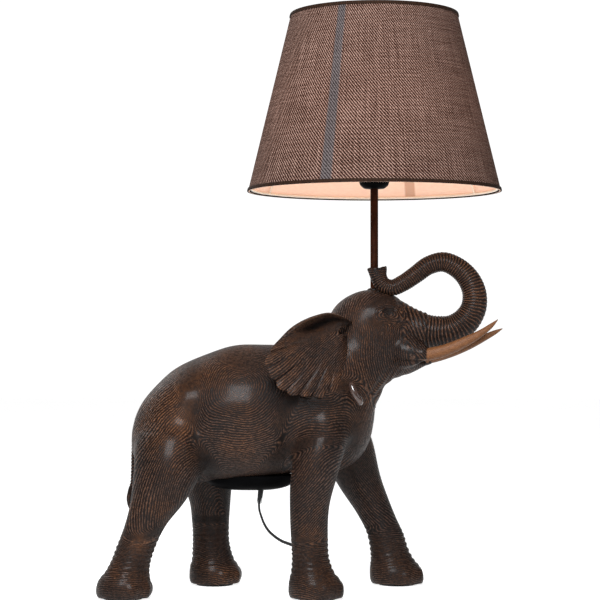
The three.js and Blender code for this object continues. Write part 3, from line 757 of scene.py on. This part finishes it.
def eyelids(p):
    """Height and darkness of the eyes: a domed ball in an almond opening, a lid round it, a crease above."""
    height, dark = np.zeros(len(p)), np.zeros(len(p))
    for eye in EYES:
        near = np.linalg.norm(p - np.array(eye, float), axis=1) < 26
        u, v = p[near, 0] - eye[0], p[near, 2] - eye[2] - 0.12 * (p[near, 0] - eye[0])
        almond = np.sqrt((u / 8.0) ** 2 + (v / (4.4 - 1.2 * (v < 0))) ** 2)
        ball = 2.6 * np.sqrt(np.clip(1 - (almond / 0.9) ** 2, 0, 1))
        lid = 2.2 * np.exp(-((almond - 1.25) / 0.22) ** 2)
        lid += 1.2 * np.exp(-((almond - 2.0) / 0.2) ** 2) * (v > -2)
        height[near] += ball + lid - 1.0 * np.exp(-((almond - 0.95) / 0.12) ** 2)
        # The eyeball's own dark colour, and painted shade in the groove round it.
        dark[near] = np.clip(1.15 - almond, 0, 0.25) * 2.0
    return height, dark


def folds(p):
    """Movement outwards: hollows and swellings of the body, ankle folds, mouth line and lids."""
    x, _, z = p.T
    q = folded(p)
    move = heaped(q, (-4.5, (-128, 78, 205), (13, 40, 52)), (3.0, (-144, 66, 256), (22, 40, 15)),
                  (-3.5, (-14, 70, 215), (12, 40, 45)), (3.0, (34, 62, 226), (17, 30, 26)),
                  (2.2, (-77, 80, 235), (42, 60, 44)), (-2.5, (58, 50, 205), (10, 30, 40)))
    move += 0.7 * sway(p, 9, 85, 3)
    ankle = np.exp(-((z - 50) / 24) ** 4) * (z < 100)
    move += ankle * 0.75 * np.sin(TAU * z / FOLD_PITCH + 1.6 * sway(p, 6, 36, 5))
    mouth = np.exp(-((z - (293 + 0.02 * (x - 123))) / 2.3) ** 2) * (x < 166)
    move -= 3.4 * mouth * np.clip((x - 122) / 7, 0, 1) * np.clip((168 - x) / 7, 0, 1)
    move += eyelids(p)[0]
    throat = weight(p, (104, 0, 262), (30, 60, 34))
    move += throat * 0.7 * np.sin(TAU * (0.8 * x - 0.5 * z) / THROAT_PITCH + 1.4 * sway(p, 6, 40, 8))
    face = weight(p, (152, -8, 338), (20, 44, 38)) * (1 - weight(q, (150, 38, 303), (22, 18, 16)))
    move -= 0.9 * face * np.sin(TAU * (0.9 * x + 0.25 * z) / FACE_PITCH + 0.5 * sway(p, 6, 45, 9))
    return move


def worn_patches(p):
    """Where handling has rubbed the lacquer towards red-brown: thigh, ankle, belly edge and back."""
    patches = heaped(folded(p), (0.55, (-150, 80, 215), (20, 40, 40)), (0.8, (-200, 90, 74), (12, 14, 16)),
                     (0.45, (-40, 50, 158), (50, 40, 10)), (0.3, (60, 40, 355), (26, 40, 18)),
                     (0.25, (-150, 20, 290), (60, 40, 22)))
    return np.clip(patches, 0, 1)


def painted_shade(p):
    """Painted shade: darkening under the ears and the belly, in the creases and round the eyes."""
    wash = heaped(folded(p), (0.85, (8, 75, 243), (44, 40, 8)), (0.8, (-34, 75, 262), (12, 40, 18)),
                  (0.6, (-60, 0, 148), (100, 56, 16)), (0.5, (62, 60, 196), (12, 30, 34)),
                  (0.4, (-127, 80, 204), (8, 40, 32)), (0.45, (-112, 80, 165), (12, 40, 26)),
                  (0.4, (-18, 74, 190), (9, 40, 30)), (0.3, (120, 44, 318), (40, 40, 34)),
                  (0.3, (14, 72, 70), (40, 30, 60)))
    return np.clip(eyelids(p)[1] + wash, 0, 1)


def carved_surface(name, field, low, high, step, node):
    """The part of the casting where the field is below zero, between two corners of a box."""
    points, faces = surface_net(field, low, high, step)
    points, out = settled(field, points)
    points = points + out * folds(points)[:, None]
    points[:, 2] = np.maximum(points[:, 2], SOLE)
    loose = 0.8 + 0.9 * weight(folded(points), (-76, 80, 264), (16, 70, 12))
    carved(name, points, [faces], node, grain_phase(points), worn_patches(points), painted_shade(points), loose)


LAP = 3.0                   # the two castings' skins run past the joint by this much
BODY_STEP, HEAD_STEP = ((2.15, 1.35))
carved_surface("body_skin", lambda p: np.maximum(elephant_field(p), past_neck(p) - LAP),
               (-262, -114, -3), (170, 116, 330), BODY_STEP, "body_casting")
carved_surface("head_skin", lambda p: np.maximum(elephant_field(p), -LAP - past_neck(p)),
               (34, -66, 196), (188, 66, 390), HEAD_STEP, "head_casting")


# ---- Trunk, tusks, tail and ears ----

def trunk():
    """The line through the trunk's stations carries round sections with sharp-bottomed rings, flatter
    beneath; the rim at the tip flares a little and turns in over a hollow."""
    path, s, radius = stations(TRUNK, 0.75)
    keep = s > ROOT
    path, s, radius = path[keep], s[keep] - ROOT, radius[keep]
    way, side, up = frames(path, (0, 1, 0))
    sides = 56
    angle = circle(sides)
    S, A = np.meshgrid(s, angle, indexing="ij")
    length = s[-1]
    pitch = 4.7 - 1.3 * S / length
    turns = S / pitch
    wobble = 0.16 * np.sin(2 * A + S / 23) + 0.12 * np.sin(3 * A - S / 11) + 0.08 * np.sin(5 * A + S / 7)
    ring = np.abs(np.sin(math.pi * (turns + wobble))) ** 0.55
    inner = 0.5 + 0.5 * np.sin(A)
    depth = (1.3 - 0.5 * S / length) * (0.75 + 0.45 * inner)
    lip = np.clip((S - (length - 11)) / 11, 0, 1)
    R = radius[:, None] + (ring - 0.75) * depth * (1 - lip)
    R += lip ** 2 * (0.2 - 0.7 * np.cos(2 * A) + 0.5 * np.sin(5 * A + 1))
    R = R * np.clip(0.9 + S / 60, 0.9, 1.0)
    points, faces = swept(path, side, up, R, sides=sides)
    wave = -0.7 * np.cos(2 * angle) + 0.8 * np.sin(angle) + 0.4 * np.sin(7 * angle)
    rise = ((np.arange(LIP_ROWS) / (LIP_ROWS - 1)) ** 2)[:, None] * wave
    points[-2 - LIP_ROWS * sides:-2] += (way[-1] * rise[..., None]).reshape(-1, 3)
    rim = points[-2 - sides:-2]
    inward = [(0.985, 1.1), (0.93, 1.9), (0.84, 2.1), (0.70, 1.0), (0.54, -3.0), (0.42, -7.0)]
    centre = rim.mean(0)
    rings = [centre + (rim - centre) * share + way[-1] * rise for share, rise in inward]
    base = len(path) * sides
    rings_points = np.concatenate(rings)
    floor = rings[-1].mean(0)[None]
    points = np.concatenate([points[:base], points[-2:-1], rings_points, floor])
    rows = np.concatenate([np.arange(base - sides, base), base + 1 + np.arange(len(rings_points))])
    fold = rows[lattice(len(rings) + 1, sides)]
    bottom = cap(len(points) - 1, rows[-sides:])
    # Painted shade inside the tip's hollow and in the bottoms of the rings.
    shadow = np.zeros(len(points))
    shadow[base + 1 + sides:] = 0.85
    shadow[:base] = (np.clip(0.4 - ring, 0, 1) * 1.2).ravel()
    phase = np.zeros(len(points))
    phase[:base] = (TAU * (turns + wobble) - math.pi / 2).ravel()
    carved("trunk_skin", points, [faces[0], faces[1], fold, bottom], "trunk", phase, 0.12, shadow, 0.25)


trunk()

TUSKS = {
    "right": [(146, -37, 301.5, 7), (154, -40, 302.3, 7.6), (166, -43.5, 304.2, 8.4), (178, -46, 307, 8.3),
              (205, -49, 318, 6.8), (229, -49, 331, 4.6), (243, -47, 341.5, 2.5), (249, -46, 347, 0.5)],
    "left": [(150, 12, 297.5, 8.6), (166, 17, 299, 8.6), (191, 22, 305, 8), (217, 25, 314.5, 6.6),
             (240, 26, 325, 4.6), (255, 24, 332.5, 2.5), (262, 23, 336, 0.5)],
}


def tusk(name, rows):
    """A tapering curve of slightly flattened sections with shallow facets from a carving knife."""
    path, s, radius = stations(np.array(rows, float), 0.9)
    _, side, up = frames(path, (0, 1, 0))
    sides = 40
    angle = circle(sides)
    facets = 1 + 0.025 * np.cos(5 * angle + 0.6)[None, :] + 0.012 * np.sin(s / 9)[:, None]
    points, faces = swept(path, side, up, radius[:, None] * facets, 0.94, sides)
    wrap = np.column_stack([np.append(np.repeat(s, sides), [0, s[-1]]) * 0.01,
                            np.append(np.tile(np.abs(angle - math.pi) / TAU, len(s)), [0, 0])])
    piece(f"tusk_{name}_skin", points, faces, BASE, TUSK, [f"tusk_{name}"], wrap=wrap)


for tusk_name, tusk_rows in TUSKS.items():
    tusk(tusk_name, tusk_rows)

TAIL = np.array([(-178, 0, 244, 6), (-192, 0.5, 238, 7), (-202.5, 1, 223, 7.5), (-207, 2, 206, 7),
                 (-211, 4, 175, 5.2), (-212.5, 6, 150, 4.4), (-213.8, 8, 136, 4.4),
                 (-216, 8, 126, 5.6), (-216.6, 8, 114, 6.2), (-214.5, 8, 97.5, 1.2)], float)


def tail():
    """A tapering cord with faint rings, ending in a tuft cut into strands."""
    path, s, radius = stations(TAIL, 0.9)
    _, side, up = frames(path, (0, 1, 0))
    sides = 36
    angle = circle(sides)
    tuft = np.clip((s - s[-1] + 38) / 12, 0, 1)[:, None]
    R = radius[:, None] + 0.35 * np.sin(TAU * s / 4.2)[:, None] * (1 - tuft)
    R = R * (1 - 0.16 * tuft * np.abs(np.sin(4.5 * angle[None, :] + s[:, None] / 16)))
    points, faces = swept(path, side, up, R, sides=sides)
    grain = np.append((TAU * s[:, None] / 4.2 * (1 - tuft) + 9 * angle[None, :] * tuft).ravel(), [0, 0])
    carved("tail_skin", points, faces, "tail", grain, loose=0.5)


tail()

# The ear's edge, from the front of its rolled top round the scalloped flap to its front lobe: x and z
EAR_EDGE = np.array([(66, 345), (52, 351.5), (37, 355.5), (19, 352), (4, 346), (-10, 337.5), (-24, 324),
                     (-32, 315), (-42, 292), (-35, 276), (-24, 261), (-8, 253), (12, 252), (30, 249.5),
                     (46, 249), (60, 247), (72, 238), (80, 243)], float)
EAR_HUB = np.array([58.0, 337.0])
EAR_FINGERS = 8.5
PLEAT_START, PLEAT_END = 0.36, 0.93     # shares of the way along the ear's edge


def ear(name, sign, node):
    """A fan from the hub to the edge. Its height out from the head is a splay that grows backwards, a
    rolled rim over a hollow along the top, and pleats that deepen towards the scalloped edge."""
    columns, rows = 340, 90
    turn = np.linspace(0, 1, columns)
    walk = along(EAR_EDGE)
    edge = cubic(turn * walk[-1], walk, EAR_EDGE)
    T, R = np.meshgrid(turn, np.linspace(0, 1, rows), indexing="ij")
    zone = np.clip((T - PLEAT_START) / 0.06, 0, 1) * np.clip((PLEAT_END - T) / 0.02, 0, 1)
    swing = (T - PLEAT_START) / (PLEAT_END - PLEAT_START) * EAR_FINGERS + 0.18 * np.sin(9 * T)
    finger = np.sqrt(np.abs(np.sin(math.pi * swing)))
    start = EAR_HUB + (edge - EAR_HUB) * 0.10
    scallop = 1 + zone * R ** 3 * (0.045 * finger - 0.035)
    flat = start[:, None] + (edge[:, None] - start[:, None]) * (R * scallop)[..., None]
    x, z = flat[..., 0], flat[..., 1]
    span = np.clip(np.linalg.norm(edge - EAR_HUB, axis=1) / 45, 0.25, 1)[:, None]
    out = 51 + 0.40 * (80 - x) + 5 * zone * R ** 2
    rim = np.clip((PLEAT_START - T) / 0.06, 0, 1) * np.clip(T / 0.04, 0, 1) * span
    out += rim * (8 * np.exp(-((R - 0.90) / 0.12) ** 2) - 12 * np.exp(-((R - 0.55) / 0.20) ** 2))
    late = np.clip((R - 0.42) / 0.58, 0, 1)
    out += zone * late ** 0.8 * (6.2 * finger - 4.2) * (0.8 + 0.25 * np.sin(2.7 * swing))
    out += 0.35 * np.sin(TAU * T * 60 + 3 * R) * late
    out -= 3.5 * R ** 8 + 9 * (1 - R) ** 3
    out -= 15 * np.clip((T - 0.78) / 0.22, 0, 1) ** 1.5 + 12 * np.clip((0.05 - T) / 0.05, 0, 1)
    cheek = np.sqrt(np.clip(1 - R ** 8, 0, 1))
    thick = 5.5 * np.clip(cheek, 0.12, 1) + 3 * rim * np.exp(-((R - 0.9) / 0.1) ** 2)
    outer = np.stack([x, -out, z], -1)
    back = np.stack([x, -out + thick, z], -1)
    n = columns * rows
    points = np.concatenate([outer.reshape(-1, 3), back.reshape(-1, 3)])
    front = lattice(columns, rows, close_columns=False)
    ids = np.arange(n).reshape(columns, rows)
    border = np.concatenate([ids[:, -1], ids[-1, -2::-1], ids[-2::-1, 0], ids[0, 1:-1]])
    wall = np.stack([border, np.roll(border, -1), np.roll(border, -1) + n, border + n], 1)
    phase = TAU * (76 * (T - 0.62) * (1 - (1 - R) ** 2.2) + 0.7 * np.sin(7 * R + 9 * T))
    grain = np.tile(phase.ravel(), 2)
    worn = np.tile((0.5 * zone * late * finger + 0.08).ravel(), 2)
    # Painted shade in the hollow under the rolled rim and in the gaps between the fingers.
    hollow = 0.9 * rim * np.exp(-((R - 0.55) / 0.16) ** 2)
    hollow += 0.8 * zone * late * np.clip(1 - finger / 0.6, 0, 1)
    shadow = np.tile(np.clip(hollow, 0, 1).ravel(), 2)
    faces = [front, front[:, ::-1] + n, wall[:, ::-1]]
    if sign > 0:
        points = points * (1, -1, 1)
        faces = [f[:, ::-1] for f in faces]
    carved(name, points, faces, node, grain, worn, shadow, 0.8)


def ear_lobe(name, sign, node):
    """The smooth rolled fold at the front foot of each ear: a short tapering bar."""
    line = [(63, 62, 270), (66, 66, 260), (71, 67, 250), (76.5, 64, 240)]
    path = smooth_path([(x, sign * y, z) for x, y, z in line], 0.8)
    s = along(path) / along(path)[-1]
    _, side, up = frames(path, (0, 1, 0))
    radius = 6.8 * np.sqrt(np.clip(1 - (2 * s - 1) ** 4, 0, 1)) * (0.8 + 0.25 * s)
    points, faces = swept(path, side, up, radius, 0.8)
    carved(name, points, faces, node, 0.0, look=GLOSS)


ear_lobe("ear_right_fold", -1, "ear_right")
ear_lobe("ear_left_fold", 1, "ear_left")
ear("ear_right_skin", -1, "ear_right")
ear("ear_left_skin", 1, "ear_left")


# ---- Belly pan ----

PAN = {"x": -63.0, "a": 60.0, "b": 31.0, "rim": 149.0, "depth": 19.6, "skin": 3.0}


def belly_pan():
    """A shallow oval dish under the belly: squarish ovals shrink towards the middle of its floor while the
    depth follows a flattened arc. Wells stand clear of the four screws, and the inner face runs back up to
    the rim."""
    sides, rows = 200, 70
    angle = circle(sides)
    share = np.sin(np.linspace(0, math.pi / 2, rows))[::-1][:-1]
    corner = (np.abs(np.cos(angle)) ** 2.6 + np.abs(np.sin(angle)) ** 2.6) ** (-1 / 2.6)
    rings = []
    for drop, inset in ((PAN["depth"], 0.0), (PAN["depth"] - PAN["skin"], PAN["skin"])):
        x = PAN["x"] + np.outer(share, (PAN["a"] - inset) * corner * np.cos(angle))
        y = np.outer(share, (PAN["b"] - inset) * corner * np.sin(angle))
        z = PAN["rim"] - drop * np.sqrt(np.clip(1 - share ** 3.2, 0, 1))[:, None] + 0 * x
        for k in (1, 2, 3, 4):
            low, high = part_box(f"cover_screw_{k}")
            off = np.hypot(x - (low[0] + high[0]) / 2 / MM, y - (low[1] + high[1]) / 2 / MM)
            well = low[2] / MM + 0.2 + (3.0 if inset else 0)
            z = np.where(off < 4.6, np.maximum(z, np.minimum(well, PAN["rim"])), z)
        rings.append(np.stack([x, y, z], -1))
    outer, inner = rings
    points = np.concatenate([[(PAN["x"], 0, PAN["rim"] - PAN["depth"])], outer[::-1].reshape(-1, 3),
                             inner.reshape(-1, 3), [(PAN["x"], 0, PAN["rim"] - PAN["depth"] + PAN["skin"])]])
    j, last = np.arange(sides), len(points) - 1
    faces = [lattice(2 * len(share), sides) + 1, cap(0, 1 + j, turned=True), cap(last, last - sides + j)]
    piece("belly_pan", points, faces, BASE, BLACK, ["belly_cover"])


belly_pan()


# ---- Rod, lampholder and bulb ----

LAMP = ((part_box("rod")[0][0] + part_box("rod")[1][0]) / 2 / MM, 0.0)


def round_part(name, profile, body, look, nodes, soften=0.6, closed=True):
    points, faces = turned_profile(rounded(profile, soften, closed=closed), LAMP)
    piece(name, points, faces, body, look, nodes)


rod_low, rod_high = (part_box("rod")[k][2] / MM for k in (0, 1))
round_part("rod_tube", [(3.8, rod_low), (5, rod_low), (5, rod_high), (3.8, rod_high)], BASE, BRONZE,
           ["rod"])
round_part("head_flange", [(5.3, 384.3), (9, 384.3), (9, 386.2), (7, 387.6), (5.3, 387.6)], BASE, FLANGE,
           ["rod_flange"])
round_part("holder_dome", [(5.3, 515), (13, 515.4), (18, 519.5), (20, 526), (20, 537), (17.6, 537),
                           (17.6, 527), (14, 521), (5.3, 519)], BASE, BLACK,
           ["holder_cap"], 1.6)
round_part("holder_barrel", [(0, 537.3), (23, 537.3), (23, 541), (19.3, 541), (19.3, 573), (15, 573),
                             (15, 542.5), (0, 542.5)], BASE, BLACK, ["holder_body"], 0.8,
           closed=False)


def knurled_ring():
    """The clamp ring: a flat band whose outer face is cut into finger grips."""
    sides = 180
    band = rounded([(19.7, 543.8), (25.5, 543.8), (25.5, 550.6), (19.7, 550.6)], 0.7)
    points, faces = turned_profile(band, (0, 0), sides)
    turn, out = np.arctan2(points[:, 1], points[:, 0]), np.hypot(*points[:, :2].T)
    grip = 1 - 0.022 * (np.sin(20 * turn) > 0.3) * (out > 24)
    points[:, :2] *= grip[:, None]
    points[:, 0] += LAMP[0]
    piece("clamp_ring_grip", points, faces, "clamp_ring", BLACK, ["shade_clamp_ring"])


knurled_ring()
bulb_profile = [(0, 650.8), (10, 649.6), (20, 643.8), (27, 634), (28.8, 622), (26.5, 610), (19, 596),
                (12.5, 585), (11, 575), (11, 560), (12, 560), (12, 575), (13.6, 584), (20, 595),
                (27.6, 609.5), (30, 622), (28, 634.8), (20.8, 645), (10.4, 651), (0, 652.2)]
round_part("bulb_envelope", bulb_profile, BULB_BODY, GLASS, ["bulb_glass"], 6, closed=False)


# ---- Shade ----

COVER = np.array(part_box("shade_bottom_trim")) / MM, np.array(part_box("shade_top_trim")) / MM
LOW_Z, HIGH_Z = COVER[0][0][2], COVER[1][1][2]
LOW_R, HIGH_R = 163.0, 107.7
BULB_Z = 620.0
SEAM_TURNS = (math.radians(-90 - 23.5), math.radians(-90 + 160))
SEAM_WIDTH = 11.5
MID_R = 135.0               # the radius at which widths round the shade are measured
CLOTH, FILM, TAPE = 0.8, 0.8, 0.6
SHADE_SIDES = 420


def shade_radius(z):
    return LOW_R + (HIGH_R - LOW_R) * (z - LOW_Z) / (HIGH_Z - LOW_Z)


def cone_skin(z, outer, thick):
    """Rings of a cone at the given heights, its outer face this far inside the shade's size, then back up
    its inner face; the overlap seams stand proud of the outer face."""
    angle = circle(SHADE_SIDES)
    seam = np.zeros(SHADE_SIDES)
    for turn in SEAM_TURNS:
        off = np.abs((angle - turn + math.pi) % TAU - math.pi) * MID_R
        seam = np.maximum(seam, np.clip((SEAM_WIDTH / 2 + 0.7 - off) / 0.7, 0, 1))
    heights = np.concatenate([z, z[::-1]])
    base = shade_radius(heights) - outer - np.concatenate([np.zeros(len(z)), np.full(len(z), thick)])
    sign = np.concatenate([np.ones(len(z)), np.zeros(len(z))])
    R = base[:, None] + 0.35 * seam * sign[:, None]
    points = np.stack([LAMP[0] + R * np.cos(angle), LAMP[1] + R * np.sin(angle),
                       np.broadcast_to(heights[:, None], R.shape)], -1).reshape(-1, 3)
    level = np.repeat(heights, SHADE_SIDES)
    wrap = np.column_stack([np.tile(np.abs(angle - math.pi) * MID_R, len(heights)), level]) * MM
    faces = [lattice(len(heights), SHADE_SIDES, close_rows=True)]
    return points, faces, wrap, np.tile(seam, len(heights)), level


def cut_size(low, high, tall):
    """The flat cut of a cone is a slice of a ring: its width, length and area in metres."""
    slant = math.hypot(low - high, tall)
    half = math.pi * (low - high) / slant
    far = low * slant / (low - high)
    flat = 2 * far * math.sin(half), far - (far - slant) * math.cos(half)
    return tuple(v * MM for v in flat), math.pi * (low + high) * slant * MM ** 2


def shade():
    """The cloth, the film inside it and the tapes round its two edges, glowing most at the bulb's height."""
    cover_z = np.linspace(LOW_Z, HIGH_Z, 60)
    points, faces, wrap, seam, z = cone_skin(cover_z, 0.9, CLOTH)
    glow = 0.20 * np.exp(-((z - BULB_Z) / 75) ** 2) + 0.03
    cloth = piece("shade_cloth", points, faces, SHADE_BODY, WEAVE, ["shade_cover"],
                  {"seam": seam, "glow": glow}, wrap)
    points, faces, wrap, seam, z = cone_skin(cover_z, 2.0, FILM)
    glow = 0.30 + 0.2 * np.exp(-((z - BULB_Z) / 80) ** 2)
    piece("shade_film", points, faces, SHADE_BODY, LINING, ["shade_lining"],
          {"seam": 0.8 * seam, "glow": glow}, wrap)
    for name, z0, z1, node in (("hem_low", LOW_Z, LOW_Z + 4.4, "shade_bottom_trim"),
                               ("hem_high", HIGH_Z - 4.4, HIGH_Z, "shade_top_trim"),
                               ("hem_low_inside", LOW_Z, LOW_Z + 3.6, "shade_bottom_trim")):
        t = np.linspace(0, 1, 9)
        bulge = np.sqrt(np.clip(1 - (2 * t - 1) ** 4, 0, 1))
        inside = 2.75 if name.endswith("inside") else 0.0
        points, faces, wrap, _, _ = cone_skin(z0 + (z1 - z0) * t, inside, TAPE)
        outer = np.repeat(np.concatenate([bulge, bulge * 0]) * 0.45, SHADE_SIDES)
        flat = points[:, :2] - LAMP
        points[:, :2] = LAMP + flat * (1 + outer / np.linalg.norm(flat, axis=1))[:, None]
        piece(name, points, faces, SHADE_BODY, TRIM, [node], None, wrap)
    flat, area = cut_size(LOW_R - 0.9, HIGH_R - 0.9, HIGH_Z - LOW_Z)


shade()

WIRE_R, WIRE_INSET = 1.6, 5.1
ARM_LINE = [(26, 542.4), (70, 542.4), (122, 542.4), (138, 539.4), (150, 529.4)]


def wire_hoop(name, z, node):
    """A round wire bent to the shade's size at this height."""
    r = shade_radius(z) - WIRE_INSET
    profile = [(r + WIRE_R * math.cos(a), z + WIRE_R * math.sin(a)) for a in circle(12)]
    points, faces = turned_profile(profile, LAMP, 160)
    piece(name, points, faces, SHADE_BODY, CREAM, [node])


def spider():
    """The fitter ring and three bent arms, welded to the lower hoop."""
    fitter = rounded([(19.8, 541.3), (27, 541.3), (27, 543.5), (19.8, 543.5)], 0.5)
    fitter_points, faces = turned_profile(fitter, LAMP)
    points, count = [fitter_points], len(fitter_points)
    reach = shade_radius(LOW_Z + 3) - WIRE_INSET
    for turn in (-90, 30, 150):
        c, s = math.cos(math.radians(turn)), math.sin(math.radians(turn))
        out, z = np.array(ARM_LINE + [(reach, LOW_Z + 3)]).T
        path = smooth_path(np.column_stack([LAMP[0] + out * c, LAMP[1] + out * s, z]), 2.5)
        _, side, up = frames(path, (-s, c, 0))
        arm_points, arm_faces = swept(path, side, up, WIRE_R, sides=12)
        points.append(arm_points)
        faces += [f + count for f in arm_faces]
        count += len(arm_points)
    piece("spider_arms", np.concatenate(points), faces, SHADE_BODY, CREAM, ["shade_spider"])


wire_hoop("hoop_low", LOW_Z + 3, "shade_spider")
wire_hoop("hoop_high", HIGH_Z - 3, "shade_top_ring")
spider()


# ---- Cord ----

CORD_WIDE, CORD_THIN = 4.8, 3.1
EXIT = (-50, 0, 129.2)
HANK = {"x": 13.0, "y0": 78.0, "y1": 174.0, "fold": 14.4, "z": 3.0, "pitch": 3.1, "turns": 6}
CORD_DROP = [EXIT, (-51, 0, 120), (-52.4, 0, 112), (-52, 0, 104), (-49.5, 0, 95.5), (-46, 0, 86.5),
             (-40.5, 0, 77.6), (-32.4, 0, 70), (-23, -0.5, 64), (-12, -2, 60), (-2, -6, 56), (6, -12, 49),
             (11, -19, 39), (13, -23, 28), (13, -22, 17), (13, -15, 8), (13, -5, 4), (13, 4, 5.2),
             (13, 13.7, 6.2)]
CORD_TAIL = [(26.8, 150, 26.5), (26, 144, 26.9), (23, 136, 28.6), (19, 130, 30.6), (17, 125, 31.3),
             (17, 119.3, 31.3)]
ON_CORD = ["cord_grip", "cord_tie", "switch_lower", "switch_upper", "switch_rocker", "plug_body",
           "plug_pin_1", "plug_pin_2"]
FLEX_SIDES = 20


def hank_turns():
    """Points of the put-away turns: a racetrack of two straight runs and two round folds, climbing one
    thickness of the cord each time round, from the middle of its left run to the start of its right one."""
    low = HANK["y0"] + CORD_WIDE / 2 + HANK["fold"]
    high = HANK["y1"] - CORD_WIDE / 2 - HANK["fold"]
    run, bend = high - low, math.pi * HANK["fold"]
    lap = 2 * (run + bend)
    begin = 112 - low
    end = HANK["turns"] * lap + run + bend - 2
    d = np.arange(begin, end, 6.0)
    on = d % lap
    r, x0 = HANK["fold"], HANK["x"]
    first = (on - run) / r
    second = (on - 2 * run - bend) / r
    stretch = [on < run, on < run + bend, on < 2 * run + bend]
    x = np.select(stretch, [x0 - r + 0 * on, x0 - r * np.cos(first), x0 + r + 0 * on],
                  x0 + r * np.cos(second))
    y = np.select(stretch, [low + on, high + r * np.sin(first), high - (on - run - bend)],
                  low - r * np.sin(second))
    rise = np.clip((d - (end - 70)) / 70, 0, 1) ** 2 * 2.6
    z = HANK["z"] + HANK["pitch"] * (d - begin) / lap + rise
    return np.column_stack([x, y, z])


def cord():
    """A flat twin flex: two round cores side by side with a furrow between, swept along the route."""
    inside = [(13, y, 6.2) for y in (20, 30, 42, 54, 66, 74)]
    entry = [(12.6, 82, 5.6), (10.5, 89, 4.4), (6, 97, 3.4), (1.6, 104, 3.0)]
    route = smooth_path(np.concatenate([CORD_DROP, inside, entry, hank_turns(), CORD_TAIL]), 2.0)
    way, side, up = frames(route, (0, 1, 0))
    s = along(route)
    turn = twist_to_flat(route, side, up, s)
    c, n = np.cos(turn)[:, None], np.sin(turn)[:, None]
    side, up = side * c + up * n, up * c - side * n
    angle = circle(FLEX_SIDES)
    half = CORD_THIN / 2 * (1 - 0.22 * np.exp(-(np.cos(angle) / 0.3) ** 2))
    across, high = CORD_WIDE / 2 * np.cos(angle), half * np.sin(angle)
    rings = route[:, None] + side[:, None] * across[None, :, None] + up[:, None] * high[None, :, None]
    points = np.concatenate([rings.reshape(-1, 3), route[[0, -1]]])
    faces = [lattice(len(route), FLEX_SIDES), *end_caps(len(route), FLEX_SIDES)]
    made = piece("flex", points, faces, BASE, FLEX,
                 ["cord_drop", "cord_link", "cord_tail", "cord_hank"])


def twist_to_flat(route, side, up, s):
    """The turn that lays the flex flat once it is on the floor, spread evenly over its fall. Of the turns
    that do it, the one that shows most of the flex's broad side from the elephant's right is taken."""
    landed = int(np.argmax(route[:, 1] > 2))
    need = math.atan2(side[landed][2], up[landed][2])
    need = (need + math.pi / 2) % math.pi - math.pi / 2
    share = np.clip((s - 25) / (s[landed] - 25), 0, 1)
    seen = (s > 60) & (s < 170)

    def edge_on(total):
        turn = total * share[seen, None]
        return np.abs((side[seen] * np.cos(turn) + up[seen] * np.sin(turn))[:, 1]).mean()

    return min((-need - math.pi, -need, -need + math.pi), key=edge_on) * share


cord()


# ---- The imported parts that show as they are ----

def dress(nodes, look):
    """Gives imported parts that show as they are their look."""
    for name in nodes:
        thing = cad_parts[name]
        thing.data.materials.clear()
        thing.data.materials.append(look)


dress([f"foot_pad_{k}" for k in (1, 2, 3, 4)], FELT)
dress([f"cover_screw_{k}" for k in (1, 2, 3, 4)] + ["rod_washer", "bulb_cap"], STEEL)
dress(["rod_nut", "holder_thread", "holder_contact", "bulb_tip", "plug_pin_1", "plug_pin_2"], BRASS)
dress(ON_CORD[:6], FITTING)
dress(["inner_lead"], LEAD)


# ---- Floor ----

def floor():
    """A wide pale floor with a little light of its own, so that it runs into the wall behind."""
    half = 8.0
    mesh = bpy.data.meshes.new("floor")
    corners = [(-half, -half, 0), (half, -half, 0), (half, half, 0), (-half, half, 0)]
    mesh.from_pydata(corners, [], [(0, 1, 2, 3)])
    made = bpy.data.objects.new("floor", mesh)
    bpy.context.collection.objects.link(made)
    look = Look("pale_floor")
    cloud, haze = look.noise(look.place(), 3, 2), look.noise(look.place(), 2, 1)
    look.color(look.ramp(cloud, [(0.3, (0.55, 0.55, 0.55)), (0.7, (0.58, 0.58, 0.58))]))
    look.join(look.ramp(haze, [(0.3, (0.99, 0.99, 0.99)), (0.7, (1, 1, 1))]),
              look.shader.inputs["Emission Color"])
    look.set(Roughness=0.9, Specular_IOR_Level=0.1, Emission_Strength=0.84)
    mesh.materials.append(look.material)


floor()
